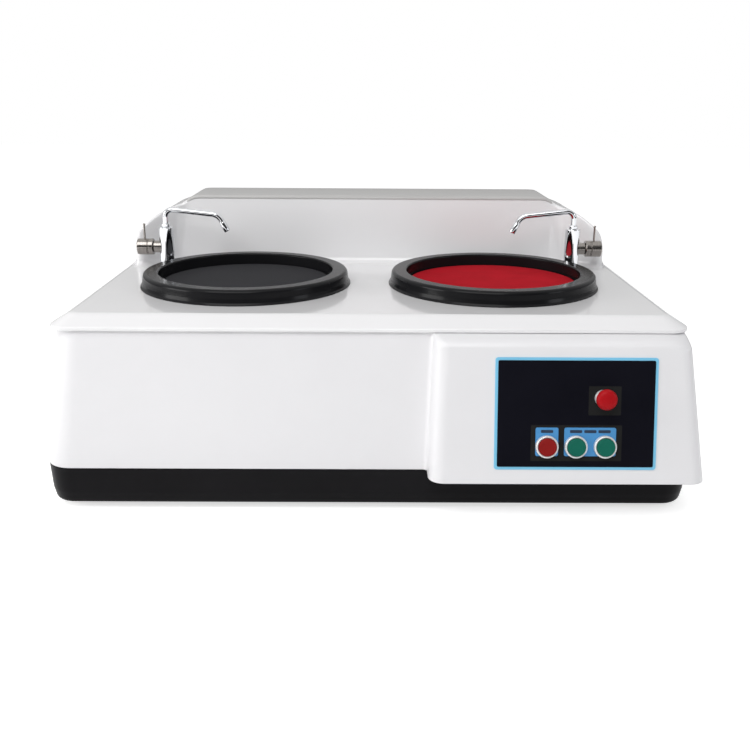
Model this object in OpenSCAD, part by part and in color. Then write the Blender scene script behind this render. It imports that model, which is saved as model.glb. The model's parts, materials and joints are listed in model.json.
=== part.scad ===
// Bench-top double-disc lapping and polishing machine.
// The origin is the middle of the floor that the machine covers, +X is to the right of the
// person in front of it, +Y is towards its back and +Z is up. All lengths are millimetres.
// Modules draw in the lip frame, where y is measured back from the front edge of the cover's
// lip, and place() moves them to the part's own frame.

/* [Lower body] */
// Width of the lower body at its foot
body_w = 700; // [660:5:760]
// Depth of the lower body at its foot, without the control housing
body_d = 440.5; // [430:0.5:480]
// Height of the lower body
body_h = 148; // [140:1:170]
// How far the front and the sides lean in from foot to top
body_lean = 17.5; // [8:0.5:24]
// Corner radius of the lower body in plan
body_corner = 30; // [20:1:40]
// Wall of the lower body
body_wall = 4; // [3:0.5:5]

/* [Base tray] */
// Height of the base tray
base_h = 43; // [36:1:50]
// How far the tray tucks in towards its bottom
base_tuck = 8; // [4:1:12]
// Wall of the base tray
base_wall = 4; // [3:0.5:5]
// Floor of the base tray
base_floor = 3; // [2:0.5:4]
// Height of a rubber foot
foot_h = 8; // [6:0.5:12]
// Diameter of a rubber foot
foot_d = 34; // [26:1:44]
// Distance of a foot's middle from the tray's edges
foot_inset = 62; // [50:1:80]

/* [Top cover] */
// How far the cover's lip stands over the lower body
lip_over = 3.5; // [2:0.5:6]
// Height of the lip's upright edge
lip_edge = 3.5; // [2.5:0.5:6]
// Width of the sloping bevel between lip and deck
bevel_run = 19; // [14:0.5:22]
// Height of the deck above the lip
deck_rise = 11; // [9:0.5:13]
// Corner radius of the lip in plan
lip_corner = 22; // [20:1:30]
// Wall of the top cover
cover_wall = 4; // [3:0.5:5]

/* [Backsplash and wings] */
// Height of the ledge above the deck
ledge_h = 88; // [80:1:100]
// Distance from the lip to the backsplash at the deck
splash_y = 306; // [305:0.5:312]
// How far the backsplash leans back from deck to ledge
splash_lean = 11; // [6:0.5:14]
// Distance from the lip to the back of the ledge
ledge_back_y = 409; // [405:0.5:410]
// Half width of the raised back, wings included
wing_x = 310; // [306:0.5:312]
// Where a wing starts at the backsplash, from the middle
fold_x = 262; // [260:0.5:266]
// Angle by which a wing turns forward
wing_turn = 37.5; // [34:0.5:39]
// Radius of a wing's upright outer corner
wing_corner = 18; // [14:0.5:20]
// Radius of the hollow where the raised back meets the deck
splash_fillet = 9; // [6:0.5:10]
// Radius of the ledge's front edge
ledge_round = 5; // [3:0.5:7]

/* [Discs and splash rings] */
// Distance between the two spindles
spindle_pitch = 298.6; // [296:0.2:304]
// Distance from the lip to the spindles
spindle_y = 177; // [172:0.5:178]
// Diameter of a platen
platen_d = 203; // [190:0.5:203.5]
// Thickness of a platen
platen_t = 12; // [10:0.5:14]
// Thickness of the abrasive disc and of the cloth
disc_t = 1.2; // [0.8:0.1:1.5]
// Height of the discs' faces above the deck
disc_rise = 3.4; // [2.5:0.1:5]
// Width of a splash ring's band, from its opening to its foot
ring_width = 21.8; // [21:0.1:22.4]
// Gap all round between a platen and its splash ring
platen_gap = 2.7; // [2.4:0.1:3.4]
// Height of a splash ring above the deck
ring_h = 16.8; // [15:0.2:20]
// Wall of a splash ring
ring_wall = 3; // [2.5:0.1:3.2]
// How far a basin's wall stands outside its ring's opening
basin_gap = 4.2; // [4.1:0.1:4.8]
// Depth of a basin below the deck
basin_depth = 36; // [30:0.5:37]

/* [Control housing] */
// Width of the control housing at its foot
house_w = 288; // [280:1:300]
// How far the housing stands out at its foot
house_reach = 36; // [30:1:44]
// How far it stands out at its shoulder
house_reach_top = 20.5; // [14:0.5:26]
// Height of the sloping shoulder under the lip
shoulder_h = 8; // [5:0.5:12]
// Radius of the housing's left corner
house_corner = 16; // [12:0.5:20]
// Width of the control panel
panel_w = 167; // [164:1:180]
// Height of the control panel along the sloping face
panel_h = 116; // [108:1:118]
// Width of the panel's coloured border
panel_edge = 3; // [2:0.2:4]
// Distance of the panel's middle from the body's right side
panel_side = 137.5; // [132:0.5:144]
// Where the panel's middle lies above the foot of the sloping face
panel_s = 73.6; // [70:0.5:76]
// Diameter of a push button's metal bezel
bezel_d = 23.4; // [22:0.2:25]
// Travel of a push button
button_travel = 3; // [2:0.1:3.2]
// Diameter of the emergency button's head
stop_head_d = 21.2; // [20:0.2:30]
// Travel of the emergency button
stop_travel = 5; // [4:0.1:6]

/* [Taps] */
// Direction of a tap from its spindle, back from straight outwards
tap_turn = 35.706; // [34:0.1:37]
// Gap between a tap's flange and its splash ring
tap_gap = 1.787; // [1:0.1:2.4]
// Diameter of a tap's body
tap_d = 18.8; // [17:0.2:20]
// Height of a tap's body
tap_h = 55; // [48:0.5:60]
// Diameter of the spout tube
spout_d = 7; // [6:0.2:8]
// Reach of the spout
spout_reach = 80; // [70:1:86]
// Diameter of the tap's knob
knob_d = 20.6; // [18:0.2:22]
// Length of the tap's knob
knob_l = 20.5; // [18:0.5:22]

/* [Drive] */
// Distance from the lip to the motor shaft
motor_y = 320; // [312:1:326]
// Diameter of the motor
motor_d = 120; // [110:1:128]
// Diameter of a spindle
spindle_d = 20; // [18:0.5:22]
// Diameter of the motor shaft
shaft_d = 19; // [16:0.5:20]
// Pitch radius of the left spindle pulley
left_pulley_r = 77; // [70:0.5:80]
// Pitch radius of the right spindle pulley
right_pulley_r = 70; // [64:0.5:76]
// Pitch radius of the motor groove for the left belt
left_groove_r = 24.75; // [22:0.25:27]
// Pitch radius of the motor groove for the right belt
right_groove_r = 30; // [27:0.25:32]
// Width of a belt at its outside
belt_w = 13; // [11:0.5:13]
// Height of a belt's section
belt_h = 8; // [6:0.5:9]

/* [Hidden] */

// Fineness of round pieces, and of the corners inside a hull
fine = 96;
hull_fn = 32;
$fn = fine;
// Overrun of a cut past a face, and the thickness of a hull's end slices
over = 1;
slice = 0.01;
// Clearance of a running fit, of a loose fit and of a hole round a screw
fit_gap = 0.02;
loose_gap = 0.3;
hole_gap = 0.3;

// Levels, from the floor up
z_base = foot_h;
z_floor = z_base + base_floor;
z_tray = z_base + base_h;
z_under = z_tray + body_h;
z_lip = z_under + lip_edge;
z_deck = z_lip + deck_rise;
z_ledge = z_deck + ledge_h;
z_disc = z_deck + disc_rise;
ring_open_d = platen_d + 2 * platen_gap;
ring_d = ring_open_d + 2 * ring_width;
basin_d = ring_open_d + 2 * basin_gap;
house_x = body_w / 2 - house_w;
panel_x = body_w / 2 - panel_side;

// Plan of the body in the lip frame
body_back_y = body_d - body_lean + lip_over;
cover_d = body_back_y + lip_over;
cover_w = body_w - 2 * body_lean + 2 * lip_over;
front_foot_y = lip_over - body_lean;

// The sloping face of the control housing
house_foot_y = front_foot_y - house_reach;
house_top_z = z_under - shoulder_h;
house_top_y = lip_over - body_lean * shoulder_h / body_h - house_reach_top;
face_tilt = atan((house_top_y - house_foot_y) / (house_top_z - z_tray));
house_right_corner = 14;
house_lean = 5;

// Push buttons: places across and up the face, and the pieces of one button
button_steps = [-29.8, 0, 30];
button_x = [for (d = button_steps) panel_x + d];
button_s = 40;
stop_step = 27;
stop_x = panel_x + stop_step;
stop_s = 90.2;
border_t = 0.8;
sheet_t = 0.6;
legend_t = 0.8;
face_t = border_t + sheet_t;
barrel_d = 15.6;
barrel_bore_d = 11.2;
barrel_l = 9;
bezel_h = 5.2;
bezel_rim = 2.1;
bezel_floor = 1;
cap_t = 3.3;
cap_out = 7.6;
stem_d = 10.6;
stem_in = 3.5;
stop_collar_h = 5;
stop_collar_d = 17;
stop_head_t = 8;
stop_nose_d = stop_head_d * 0.8;
stop_out = 21;
block_w = 24;
block_h = 20;
block_l = 30;

// Rear fittings
fitting_reach = 22;
fitting_flange_t = 4;
// Where the part's own frame lies: midway between the emergency button and the rear fittings
stop_front_y = house_foot_y - fit_gap + stop_s * sin(face_tilt) - (face_t + stop_out) * cos(face_tilt)
    - stop_nose_d / 2 * sin(face_tilt);
lip_y = -(stop_front_y + body_back_y + fitting_reach) / 2;

// Base tray
tray_round_z = 14;
foot_bolt_d = 6;

// Raised back: shares of the wing's half width across and of the ledge's height up
crest_shares = [[0, 1], [0.3, 1], [0.36, 1], [0.42, 1], [0.48, 1], [0.54, 1], [0.6, 1],
    [0.66, 1], [0.726, 1], [0.755, 0.993], [0.774, 0.965], [0.79, 0.931],
    [0.806, 0.896], [0.818, 0.878], [0.832, 0.862], [0.845, 0.846], [0.861, 0.826],
    [0.887, 0.783], [0.913, 0.726], [0.942, 0.646], [0.957, 0.6], [0.971, 0.548],
    [0.984, 0.47], [0.9935, 0.362], [0.9987, 0.26], [1, 0.19], [1.0026, 0.115],
    [1.007, 0.05], [1.013, 0.012], [1.019, -0.03]];
// The share of the crest, counted from its end, where the hollow inside stops
inner_crest_count = 25;
fold_blend = 12;
ledge_back_foot = 9;
crest_back_round = 4;
crest_least = 0.6;
crest_sink = 0.2;
arc_steps = 3;

// Trim strip on the ledge
strip_last = 11;
strip_inset = 0.5;
strip_t = 1.2;

// Deck openings
deck_hole_r = basin_d / 2 + 3.6;
tap_hole_d = 12.6;

// Splash ring
ring_draft = 3.5;
ring_top_d = ring_d - 2 * ring_draft;
ring_clear = 0.8;
ring_round = 4;
ring_foot_t = 2.4;
ring_foot_w = 5.6;
ring_skirt = 4;
rim_chamfer = 1.6;
rim_steps = 8;

// Basin, its seals and the drain
basin_wall = 2.8;
basin_floor = 3;
basin_flange_w = 9.6;
basin_flange_d = basin_d + 2 * basin_flange_w;
basin_flange_t = 2.5;
gasket_t = 1.2;
gasket_w = 4;
hub_r = 22;
hub_wall = 3;
hub_rise = 18;
drain_r = 84;
drain_turn = 120;
drain_bore_d = 11;
drain_d = 14;
drain_l = 15;
seal_d = 36;
seal_h = 5;

// Spindle, its driver and housing
driver_d = 70;
driver_t = 6;
boss_l = 6.5;
boss_gap = 1;
drive_pin_d = 6;
drive_pin_l = 5;
drive_pin_r = 25;
z_plate = 74;
plate_t = 6;
plate_x = 232;
plate_y0 = 82;
plate_y1 = 402;
housing_flange_d = 110;
housing_flange_t = 10;
housing_d = 64;
housing_spigot_d = 60;
housing_gap = 2.5;
bearing_d = 42;
bearing_w = 12;
bearing_land = 3;
bearing_shoulder_d = 34;
bearing_groove_d = 31;
bearing_groove_w = 9;
bearing_groove_t = 0.6;
bolt_pcd = 88;
bolt_d = 8;
bolt_head_d = 14.6;
bolt_head_h = 5.5;
post_d = 20;
post_x = 216;
post_y = [98, 388];

// Belt drive
left_belt_z = 58;
right_belt_z = 38;
belt_angle = 19;
pulley_w = 17;
pulley_rim = 2;
pulley_rim_t = 9;
pulley_web = 6;
pulley_hub_d = 42;
belt_proud = 1;
belt_lap = 0.3;
spindle_foot_z = 27;
shaft_foot_z = 26;

// Motor
motor_flange_w = 124;
motor_flange_t = 10;
motor_bolt_pcd = 144;
motor_headroom = 5.5;
motor_fins = 28;
motor_fin_w = 2.6;
motor_fin_t = 4;
motor_bearing_d = 40;
motor_bearing_w = 12;
cowl_h = 30;
motor_body_h = z_deck - cover_wall - motor_headroom - cowl_h - z_plate - plate_t
    - motor_flange_t;
cowl_wall = 1.5;
cowl_seat = 4;
cowl_gap = 1;
cowl_slots = 18;
cowl_slot_w = 3;
fan_d = 96;
fan_t = 3;
fan_blades = 8;
fan_blade_h = 10;
fan_hub_d = 30;
box_size = [26, 44, 40];
box_z = 26;

// Taps
tap_flange_d = 22;
tap_reach = ring_d / 2 + tap_flange_d / 2 + tap_gap;
tap_x = spindle_pitch / 2 + tap_reach * cos(tap_turn);
tap_y = spindle_y + tap_reach * sin(tap_turn);
tap_flange_h = 3;
tap_shank_d = 12;
tap_shank_l = 30;
tap_knob_h = 29.3;
branch_d = 15;
branch_l = 7;
knob_gap = 0.4;
knob_stem_d = 8;
knob_stem_l = 9;
lever_d = 2.7;
lever_l = 18;
lever_from_end = 9;
lever_lean = 4;
spout_collar_d = 11;
spout_collar_h = 4;
spout_rise = 8.5;
spout_bend = 9;
spout_slope = 6;
spout_drop = 62;
spout_tip_l = 12.6;
spout_tip_d = 8.2;
spout_wall = 0.9;
spigot_l = 6;
spout_run_d = spout_d + 2 * fit_gap;
spout_lap = 0.3;
nut_across = 22;
nut_h = 8;

// Hoses, leads and rear fittings
hose_d = 10;
hose_in = 6;
drain_hose_d = 18;
lead_d = 7;
boot_d = 9;
boot_l = 8;
sweep_under = 0.4;
cuff_l = 10;
sweep_sides = 8;
sweep_steps = 4;
inlet_x = -120;
inlet_z = 120;
inlet_thread_d = 20.96;
inlet_nut_d = 30;
inlet_nut_t = 8;
inlet_body_d = 18;
inlet_tee_y = 404;
inlet_tee_l = 20;
inlet_barb_d = 8;
inlet_bore_d = 13;
outlet_x = 180;
outlet_z = 90;
outlet_d = 21;
outlet_bore_d = 15;
outlet_flange_d = 34;
outlet_in_l = 20;
outlet_neck_l = 6;
gland_x = 120;
gland_z = 150;
gland_d = 24;
gland_nut_t = 9;
gland_in_l = 16;
gland_bore_d = 7.6;

// Rear service panel
service_w = 190;
service_h = 110;
service_z = 122;
service_t = 2;
service_lap = 12;
louvre_count = 7;
louvre_w = 110;
louvre_h = 4;
louvre_pitch = 10;
screw_d = 4;
screw_head_d = 8;
screw_head_h = 2.4;
screw_l = 6;
screw_inset = 7;

// Electrics
board_side = 50;
board_x = body_w / 2 - board_side;
board_y = [62, 236];
board_z1 = 150;
board_t = 2;
board_foot = 18;
contactor_size = [46, 46, 74];
contactor_y = [70, 122, 174];
contactor_z = 62;
contactor_step = [9, 46, 22];

// Routes of the hoses and leads in the lip frame, chosen by hand
water_left = [[-143, 404, 120], [-165, 404, 120], [-205, 398, 124], [-242, 368, 130],
    [-260, 325, 134], [-265, 290, 138],
    [-tap_x - 1, tap_y + 8, z_deck - 61.5], [-tap_x, tap_y, z_deck - 42.5],
    [-tap_x, tap_y, z_deck - 33.5]];
water_right = [[-97, 404, 120], [-60, 406, 118], [0, 408, 116], [80, 408, 116],
    [160, 405, 119], [215, 392, 124], [250, 360, 129], [265, 320, 133], [266, 288, 139],
    [tap_x + 1, tap_y + 8, z_deck - 59.5], [tap_x, tap_y, z_deck - 42.5],
    [tap_x, tap_y, z_deck - 33.5]];
drain_x = spindle_pitch / 2 + drain_r * cos(180 - drain_turn);
drain_y = spindle_y + drain_r * sin(180 - drain_turn);
drain_side = [[drain_x, drain_y, z_deck - 61.5], [drain_x, drain_y, z_deck - 69.5],
    [191, 256, 122], [189, 276, 101],
    [185, 308, 91], [181, 348, 90], [180, 386, 90], [180, 400, 90]];
lead_switch = [[button_x[1], 2, 80], [button_x[1] + 2, 20, 76], [button_x[1] + 14, 36, 76],
    [board_x - 50, 46, 84], [board_x - 30, 54, 92], [board_x - 27, 65, 94]];
lead_motor = [[90, 320, 126], [104, 321, 127], [140, 322, 130], [190, 306, 130],
    [board_x - 64, 272, 118], [board_x - 36, 244, 106], [board_x - 27, 232, 102],
    [board_x - 27, 225, 102]];
lead_mains = [[120, 405, 150], [122, 392, 150], [150, 374, 149], [200, 342, 143],
    [board_x - 62, 298, 128], [board_x - 42, 262, 120], [board_x - 33, 236, 118],
    [board_x - 33, 225, 118]];

module place() { translate([0, lip_y, 0]) children(); }

// One of a mirrored pair: side is 1 on the right and -1 on the left
module on_side(side) {
    if (side > 0) children();
    else mirror([1, 0, 0]) children();
}

// The frame of one spindle at floor level
module at_spindle(side) { translate([side * spindle_pitch / 2, spindle_y, 0]) children(); }

// The frame of the sloping face: x across, z up the face from its foot, -y outwards
module on_face() {
    translate([0, house_foot_y - fit_gap, z_tray]) rotate([-face_tilt, 0, 0]) children();
}

// A round piece that stands out of the sloping face: from and to are heights off the face
module off_face(x, s, d, from, to) {
    translate([x, -from, s]) rotate([90, 0, 0]) cylinder(d = d, h = to - from);
}

// A plate on the sloping face with rounded corners
module face_plate(x, s, w, h, r, from, t) {
    translate([x, -from, s]) rotate([90, 0, 0]) linear_extrude(t)
        rounded_square(w, h, r);
}

module rounded_square(w, h, r) {
    square([w - 2 * r, h], center = true);
    square([w, h - 2 * r], center = true);
    for (sx = [-1, 1], sy = [-1, 1]) translate([sx * (w / 2 - r), sy * (h / 2 - r)]) circle(r);
}

// Four upright corner slices of a rounded box, for a hull
module corners(half_w, y0, y1, r, z, t) {
    for (sx = [-1, 1], y = [y0 + r, y1 - r])
        translate([sx * (half_w - r), y, z]) cylinder(r = r, h = t, $fn = hull_fn);
}

// A swept tube along points: rings of sides points, closed at both ends
function unit(v) = v / norm(v);
function spline(a, b, c, d, t) = 0.5 * (2 * b + (c - a) * t + (2 * a - 5 * b + 4 * c - d) * t * t
    + (3 * b - a - 3 * c + d) * t * t * t);
function smooth(p) = let (n = len(p)) concat(
    [for (i = [0 : n - 2], j = [0 : sweep_steps - 1])
        spline(p[max(i - 1, 0)], p[i], p[i + 1], p[min(i + 2, n - 1)], j / sweep_steps)],
    [p[n - 1]]);
function heading(p, i) = let (n = len(p)) unit(p[min(i + 1, n - 1)] - p[max(i - 1, 0)]);

module sweep(points, d, ref) {
    p = smooth(points);
    n = len(p);
    m = sweep_sides;
    rings = [for (i = [0 : n - 1])
        let (u = unit(cross(heading(p, i), ref)), v = cross(heading(p, i), u))
        for (k = [0 : m - 1]) p[i] + d / 2 * (cos(360 * k / m) * u + sin(360 * k / m) * v)];
    walls = [for (i = [0 : n - 2], k = [0 : m - 1], half = [0, 1])
        let (a = i * m + k, b = i * m + (k + 1) % m)
        half == 0 ? [a, b + m, b] : [a, a + m, b + m]];
    caps = [[for (k = [0 : m - 1]) k], [for (k = [m - 1 : -1 : 0]) (n - 1) * m + k]];
    polyhedron(rings, concat(walls, caps));
}

// The raised back, as sections across the machine joined into one solid.
// inset is nothing for the outside and the wall for the hollow inside.
function smooth_min(a, b, k) = let (h = max(k - abs(a - b), 0) / k) min(a, b) - h * h * k / 4;
function wing_y(x) = splash_y - tan(wing_turn) * (abs(x) - fold_x);
function corner_y(x) = let (t = min(max(abs(x) - wing_x + wing_corner, 0) / wing_corner, 1))
    wing_corner * (1 - sqrt(1 - t * t));
function face_y(x, h) = smooth_min(splash_y + splash_lean * h / ledge_h, wing_y(x), fold_blend)
    + corner_y(x);
function ring_back_y(x) = let (d = abs(x) - spindle_pitch / 2)
    spindle_y + sqrt(max(ring_d * ring_d / 4 - d * d, 0));
function crest_section(x, h, inset) =
    let (clear = face_y(x, 0) - ring_back_y(x) - ring_clear,
        f = max(min(splash_fillet, h / 3, inset > 0 ? splash_fillet : clear), crest_least),
        r = max(min(ledge_round, h / 3), crest_least),
        foot = inset > 0 ? z_under - over : z_lip + over / 2,
        base = z_deck - crest_sink - inset + min(h - 2 * over, 0),
        top = z_deck + h - inset, back = ledge_back_y - inset,
        back_foot = back + (inset > 0 ? 0 : ledge_back_foot),
        face = face_y(x, 0) + inset, crown = face_y(x, h) + inset,
        b = min(crest_back_round, r))
    concat([[back_foot, foot], [face - f, foot]],
        [for (i = [0 : arc_steps]) let (a = 90 * i / arc_steps)
            [face - f + f * sin(a), base + f - f * cos(a)]],
        [for (i = [0 : arc_steps]) let (a = 90 * i / arc_steps)
            [crown + r - r * cos(a), top - r + r * sin(a)]],
        [for (i = [0 : arc_steps]) let (a = 90 * i / arc_steps)
            [back - b + b * sin(a), top - b + b * cos(a)]]);

module crest(inset) {
    count = inset > 0 ? inner_crest_count : len(crest_shares);
    reach = wing_x - inset;
    half = [for (i = [0 : count - 1]) crest_shares[i]];
    sides = concat([for (i = [count - 1 : -1 : 1]) [-half[i][0], half[i][1]]], half);
    sections = [for (s = sides) [for (q = crest_section(s[0] * reach, s[1] * ledge_h, inset))
        [s[0] * reach, q[0], q[1]]]];
    n = len(sections);
    m = len(sections[0]);
    walls = [for (i = [0 : n - 2], k = [0 : m - 1], part = [0, 1])
        let (a = i * m + k, b = i * m + (k + 1) % m)
        part == 0 ? [a, b, b + m] : [a, b + m, a + m]];
    caps = [for (k = [1 : m - 2], end = [0, 1])
        end == 0 ? [0, k + 1, k]
            : [(n - 1) * m, (n - 1) * m + k, (n - 1) * m + k + 1]];
    polyhedron([for (s = sections) for (q = s) q], concat(walls, caps));
}

// Outer pieces
module base_tray() {
    color([0.07, 0.07, 0.08]) difference() {
        tray_block(0);
        tray_block(base_wall);
        for (x = [-1, 1], y = [-1, 1]) at_foot(x, y) cylinder(d = foot_bolt_d + hole_gap,
            h = z_floor + over);
    }
}

module tray_block(inset) {
    half = body_w / 2 - inset;
    y0 = front_foot_y + inset;
    y1 = body_back_y - inset;
    lift = inset > 0 ? base_floor : 0;
    rise = inset > 0 ? over : 0;
    hull() {
        corners(half, y0, y1, body_corner - inset, z_tray - slice + rise, slice);
        corners(half - base_tuck / 3, y0 + base_tuck / 3, y1 - base_tuck / 3,
            body_corner - inset, z_base + tray_round_z, slice);
        corners(half - base_tuck, y0 + base_tuck, y1 - base_tuck,
            body_corner - inset, z_base + lift, slice);
    }
}

module at_foot(x, y) {
    mid_y = (front_foot_y + body_back_y) / 2;
    half_y = (body_back_y - front_foot_y) / 2 - foot_inset;
    translate([x * (body_w / 2 - foot_inset), mid_y + y * half_y, 0]) children();
}

module rubber_feet() {
    color([0.1, 0.1, 0.1]) for (x = [-1, 1], y = [-1, 1]) at_foot(x, y) {
        cylinder(d1 = foot_d - foot_h / 2, d2 = foot_d, h = foot_h);
        cylinder(d = foot_bolt_d, h = z_floor);
        translate([0, 0, z_floor]) cylinder(d = foot_bolt_d * 2, h = base_floor);
    }
}

module body_block(inset) {
    rise = inset > 0 ? over : 0;
    hull() {
        corners(body_w / 2 - inset, front_foot_y + inset, body_back_y - inset,
            body_corner - inset, z_tray - rise, slice);
        corners(body_w / 2 - body_lean - inset, lip_over + inset, body_back_y - inset,
            body_corner - inset, z_under - slice + rise, slice);
    }
}

// One level of the control housing: its outline runs back into the body
module house_level(half_w, y, inset, z) {
    left = house_x + house_lean * (z - z_tray) / body_h + inset;
    right = half_w - inset;
    r = house_corner - inset;
    back = body_corner * 2;
    translate([left + r, y + r + inset, z]) cylinder(r = r, h = slice, $fn = hull_fn);
    translate([right - house_right_corner, y + house_right_corner + inset, z])
        cylinder(r = house_right_corner, h = slice, $fn = hull_fn);
    for (x = [left, right - body_wall])
        translate([x, back, z]) cube([body_wall, slice, slice]);
}

module house_block(inset) {
    lean_top = body_lean * (house_top_z - z_tray) / body_h;
    hull() {
        house_level(body_w / 2, house_foot_y, inset, z_tray + inset);
        house_level(body_w / 2 - lean_top, house_top_y, inset, house_top_z - inset / 2);
        house_level(body_w / 2 - body_lean, lip_over, inset, z_under - slice - inset / 2);
    }
}

module lower_body() {
    color([0.93, 0.93, 0.94]) difference() {
        union() {
            body_block(0);
            house_block(0);
        }
        body_block(body_wall);
        house_block(body_wall);
        on_face() for (x = button_x) off_face(x, button_s, barrel_d + hole_gap,
            -2 * body_wall, over);
        on_face() off_face(stop_x, stop_s, barrel_d + hole_gap, -2 * body_wall, over);
        translate([-service_w / 2 + service_lap, body_back_y - 2 * body_wall,
            service_z - service_h / 2 + service_lap])
            cube([service_w - 2 * service_lap, 3 * body_wall, service_h - 2 * service_lap]);
        rear_hole(inlet_x, inlet_z, inlet_body_d + hole_gap);
        rear_hole(gland_x, gland_z, gland_d - body_wall + hole_gap);
        for (side = [-1, 1]) rear_hole(side * outlet_x, outlet_z, outlet_d + hole_gap);
        for (sx = [-1, 1], sz = [-1, 1]) at_service_screw(sx, sz) rotate([-90, 0, 0])
            translate([0, 0, -2 * body_wall]) cylinder(d = screw_d + fit_gap, h = 3 * body_wall);
    }
}

module rear_hole(x, z, d) {
    translate([x, body_back_y + over, z]) rotate([90, 0, 0])
        cylinder(d = d, h = 2 * body_wall);
}

module top_cover() {
    half = cover_w / 2;
    rim = lip_over + body_wall;
    color([0.95, 0.95, 0.96]) difference() {
        union() {
            hull() {
                corners(half, 0, cover_d, lip_corner, z_under, lip_edge);
                corners(half - bevel_run, bevel_run, cover_d - bevel_run,
                    lip_corner - bevel_run / 2, z_deck - slice, slice);
            }
            crest(0);
        }
        hull() {
            corners(half - rim, rim, cover_d - rim, lip_corner - rim / 2,
                z_under - over, slice);
            corners(half - bevel_run - cover_wall / 2, bevel_run + cover_wall / 2,
                cover_d - bevel_run - cover_wall / 2, lip_corner - bevel_run / 2,
                z_deck - cover_wall - slice, slice);
        }
        crest(cover_wall);
        for (side = [-1, 1]) {
            at_spindle(side) translate([0, 0, z_under])
                cylinder(r = deck_hole_r, h = deck_rise + lip_edge + over);
            translate([side * tap_x, tap_y, z_under])
                cylinder(d = tap_hole_d, h = deck_rise + lip_edge + over);
        }
    }
}

// The strip lies on the ledge and follows its fall at both ends
module ledge_strip() {
    half = [for (i = [0 : strip_last]) crest_shares[i]];
    sides = concat([for (i = [strip_last : -1 : 1]) [-half[i][0], half[i][1]]], half);
    front = splash_y + splash_lean + ledge_round + strip_inset;
    back = ledge_back_y - crest_back_round - strip_inset;
    n = len(sides);
    points = [for (q = sides) let (x = q[0] * wing_x, z = z_deck + q[1] * ledge_h)
        each [[x, back, z], [x, front, z], [x, front, z + strip_t], [x, back, z + strip_t]]];
    walls = [for (i = [0 : n - 2], k = [0 : 3], half_face = [0, 1])
        let (a = i * 4 + k, b = i * 4 + (k + 1) % 4)
        half_face == 0 ? [a, b, b + 4] : [a, b + 4, a + 4]];
    color([0.6, 0.61, 0.63]) polyhedron(points,
        concat(walls, [[3, 2, 1, 0], [for (k = [0 : 3]) (n - 1) * 4 + k]]));
}

module at_service_screw(sx, sz) {
    translate([sx * (service_w / 2 - screw_inset), body_back_y,
        service_z + sz * (service_h / 2 - screw_inset)]) children();
}

module rear_panel() {
    color([0.9, 0.9, 0.91]) difference() {
        translate([0, body_back_y + service_t, service_z]) rotate([90, 0, 0])
            linear_extrude(service_t) rounded_square(service_w, service_h, screw_inset / 2);
        for (i = [0 : louvre_count - 1])
            translate([-louvre_w / 2, body_back_y - over,
                service_z + (i - (louvre_count - 1) / 2) * louvre_pitch - louvre_h / 2])
                cube([louvre_w, service_t + 2 * over, louvre_h]);
        for (sx = [-1, 1], sz = [-1, 1]) at_service_screw(sx, sz) rotate([-90, 0, 0])
            translate([0, 0, -over]) cylinder(d = screw_d + fit_gap, h = service_t + 2 * over);
    }
}

module panel_screws() {
    color([0.7, 0.7, 0.72]) for (sx = [-1, 1], sz = [-1, 1]) at_service_screw(sx, sz)
        rotate([-90, 0, 0]) {
            translate([0, 0, service_t]) cylinder(d1 = screw_head_d,
                d2 = screw_head_d * 0.7, h = screw_head_h);
            translate([0, 0, service_t - screw_l]) cylinder(d = screw_d, h = screw_l);
        }
}

// Splash ring: a hollow rim with a skirt that hangs inside the basin
module splash_ring(side) {
    open_r = ring_open_d / 2;
    top_r = ring_top_d / 2;
    foot_r = ring_d / 2;
    inner_r = open_r + ring_wall;
    edge = [for (i = [0 : rim_steps]) let (a = 90 - 90 * i / rim_steps)
        [top_r - ring_round + ring_round * cos(a), ring_h - ring_round + ring_round * sin(a)]];
    color([0.09, 0.09, 0.1]) at_spindle(side) translate([0, 0, z_deck]) rotate_extrude()
        polygon(concat([[open_r, -ring_skirt], [open_r, ring_h - rim_chamfer],
            [open_r + rim_chamfer, ring_h]], edge,
            [[foot_r - ring_foot_t, ring_foot_t], [foot_r, ring_foot_t], [foot_r, 0],
            [foot_r - ring_foot_w, 0], [foot_r - ring_foot_w, ring_foot_t],
            [top_r - ring_wall, ring_h - ring_round - ring_wall / 2],
            [top_r - ring_round, ring_h - ring_wall], [inner_r, ring_h - ring_wall],
            [inner_r, -ring_skirt]]));
}

module left_splash_ring() { splash_ring(-1); }
module right_splash_ring() { splash_ring(1); }

// Where a basin's drain lies, in the spindle's frame
module at_drain(side) {
    on_side(side) rotate([0, 0, 180 - drain_turn]) translate([drain_r, 0, 0]) children();
}

module basin(side) {
    r = basin_d / 2;
    low = -basin_depth;
    color([0.16, 0.16, 0.17]) at_spindle(side) translate([0, 0, z_deck]) difference() {
        union() {
            rotate_extrude() polygon([[hub_r, low - basin_floor], [r + basin_wall, low - basin_floor],
                [r + basin_wall, gasket_t], [basin_flange_d / 2, gasket_t],
                [basin_flange_d / 2, gasket_t + basin_flange_t], [r, gasket_t + basin_flange_t],
                [r, low], [hub_r + hub_wall, low], [hub_r + hub_wall, -hub_rise],
                [hub_r, -hub_rise]]);
            at_drain(side) translate([0, 0, low - basin_floor - drain_l])
                cylinder(d = drain_d, h = drain_l + over);
        }
        at_drain(side) translate([0, 0, low - basin_floor - drain_l - over])
            cylinder(d = drain_bore_d, h = drain_l + basin_floor + 2 * over);
    }
}

module left_basin() { basin(-1); }
module right_basin() { basin(1); }

// Flat gaskets under the basins' flanges, and shaft seals on the housings
module basin_seals() {
    color([0.05, 0.05, 0.05]) for (side = [-1, 1]) at_spindle(side) {
        translate([0, 0, z_deck]) ring(basin_flange_d / 2 - gasket_w,
            basin_flange_d / 2, gasket_t);
        translate([0, 0, housing_top()]) ring(spindle_d / 2 + fit_gap, seal_d / 2, seal_h);
    }
}

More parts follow.
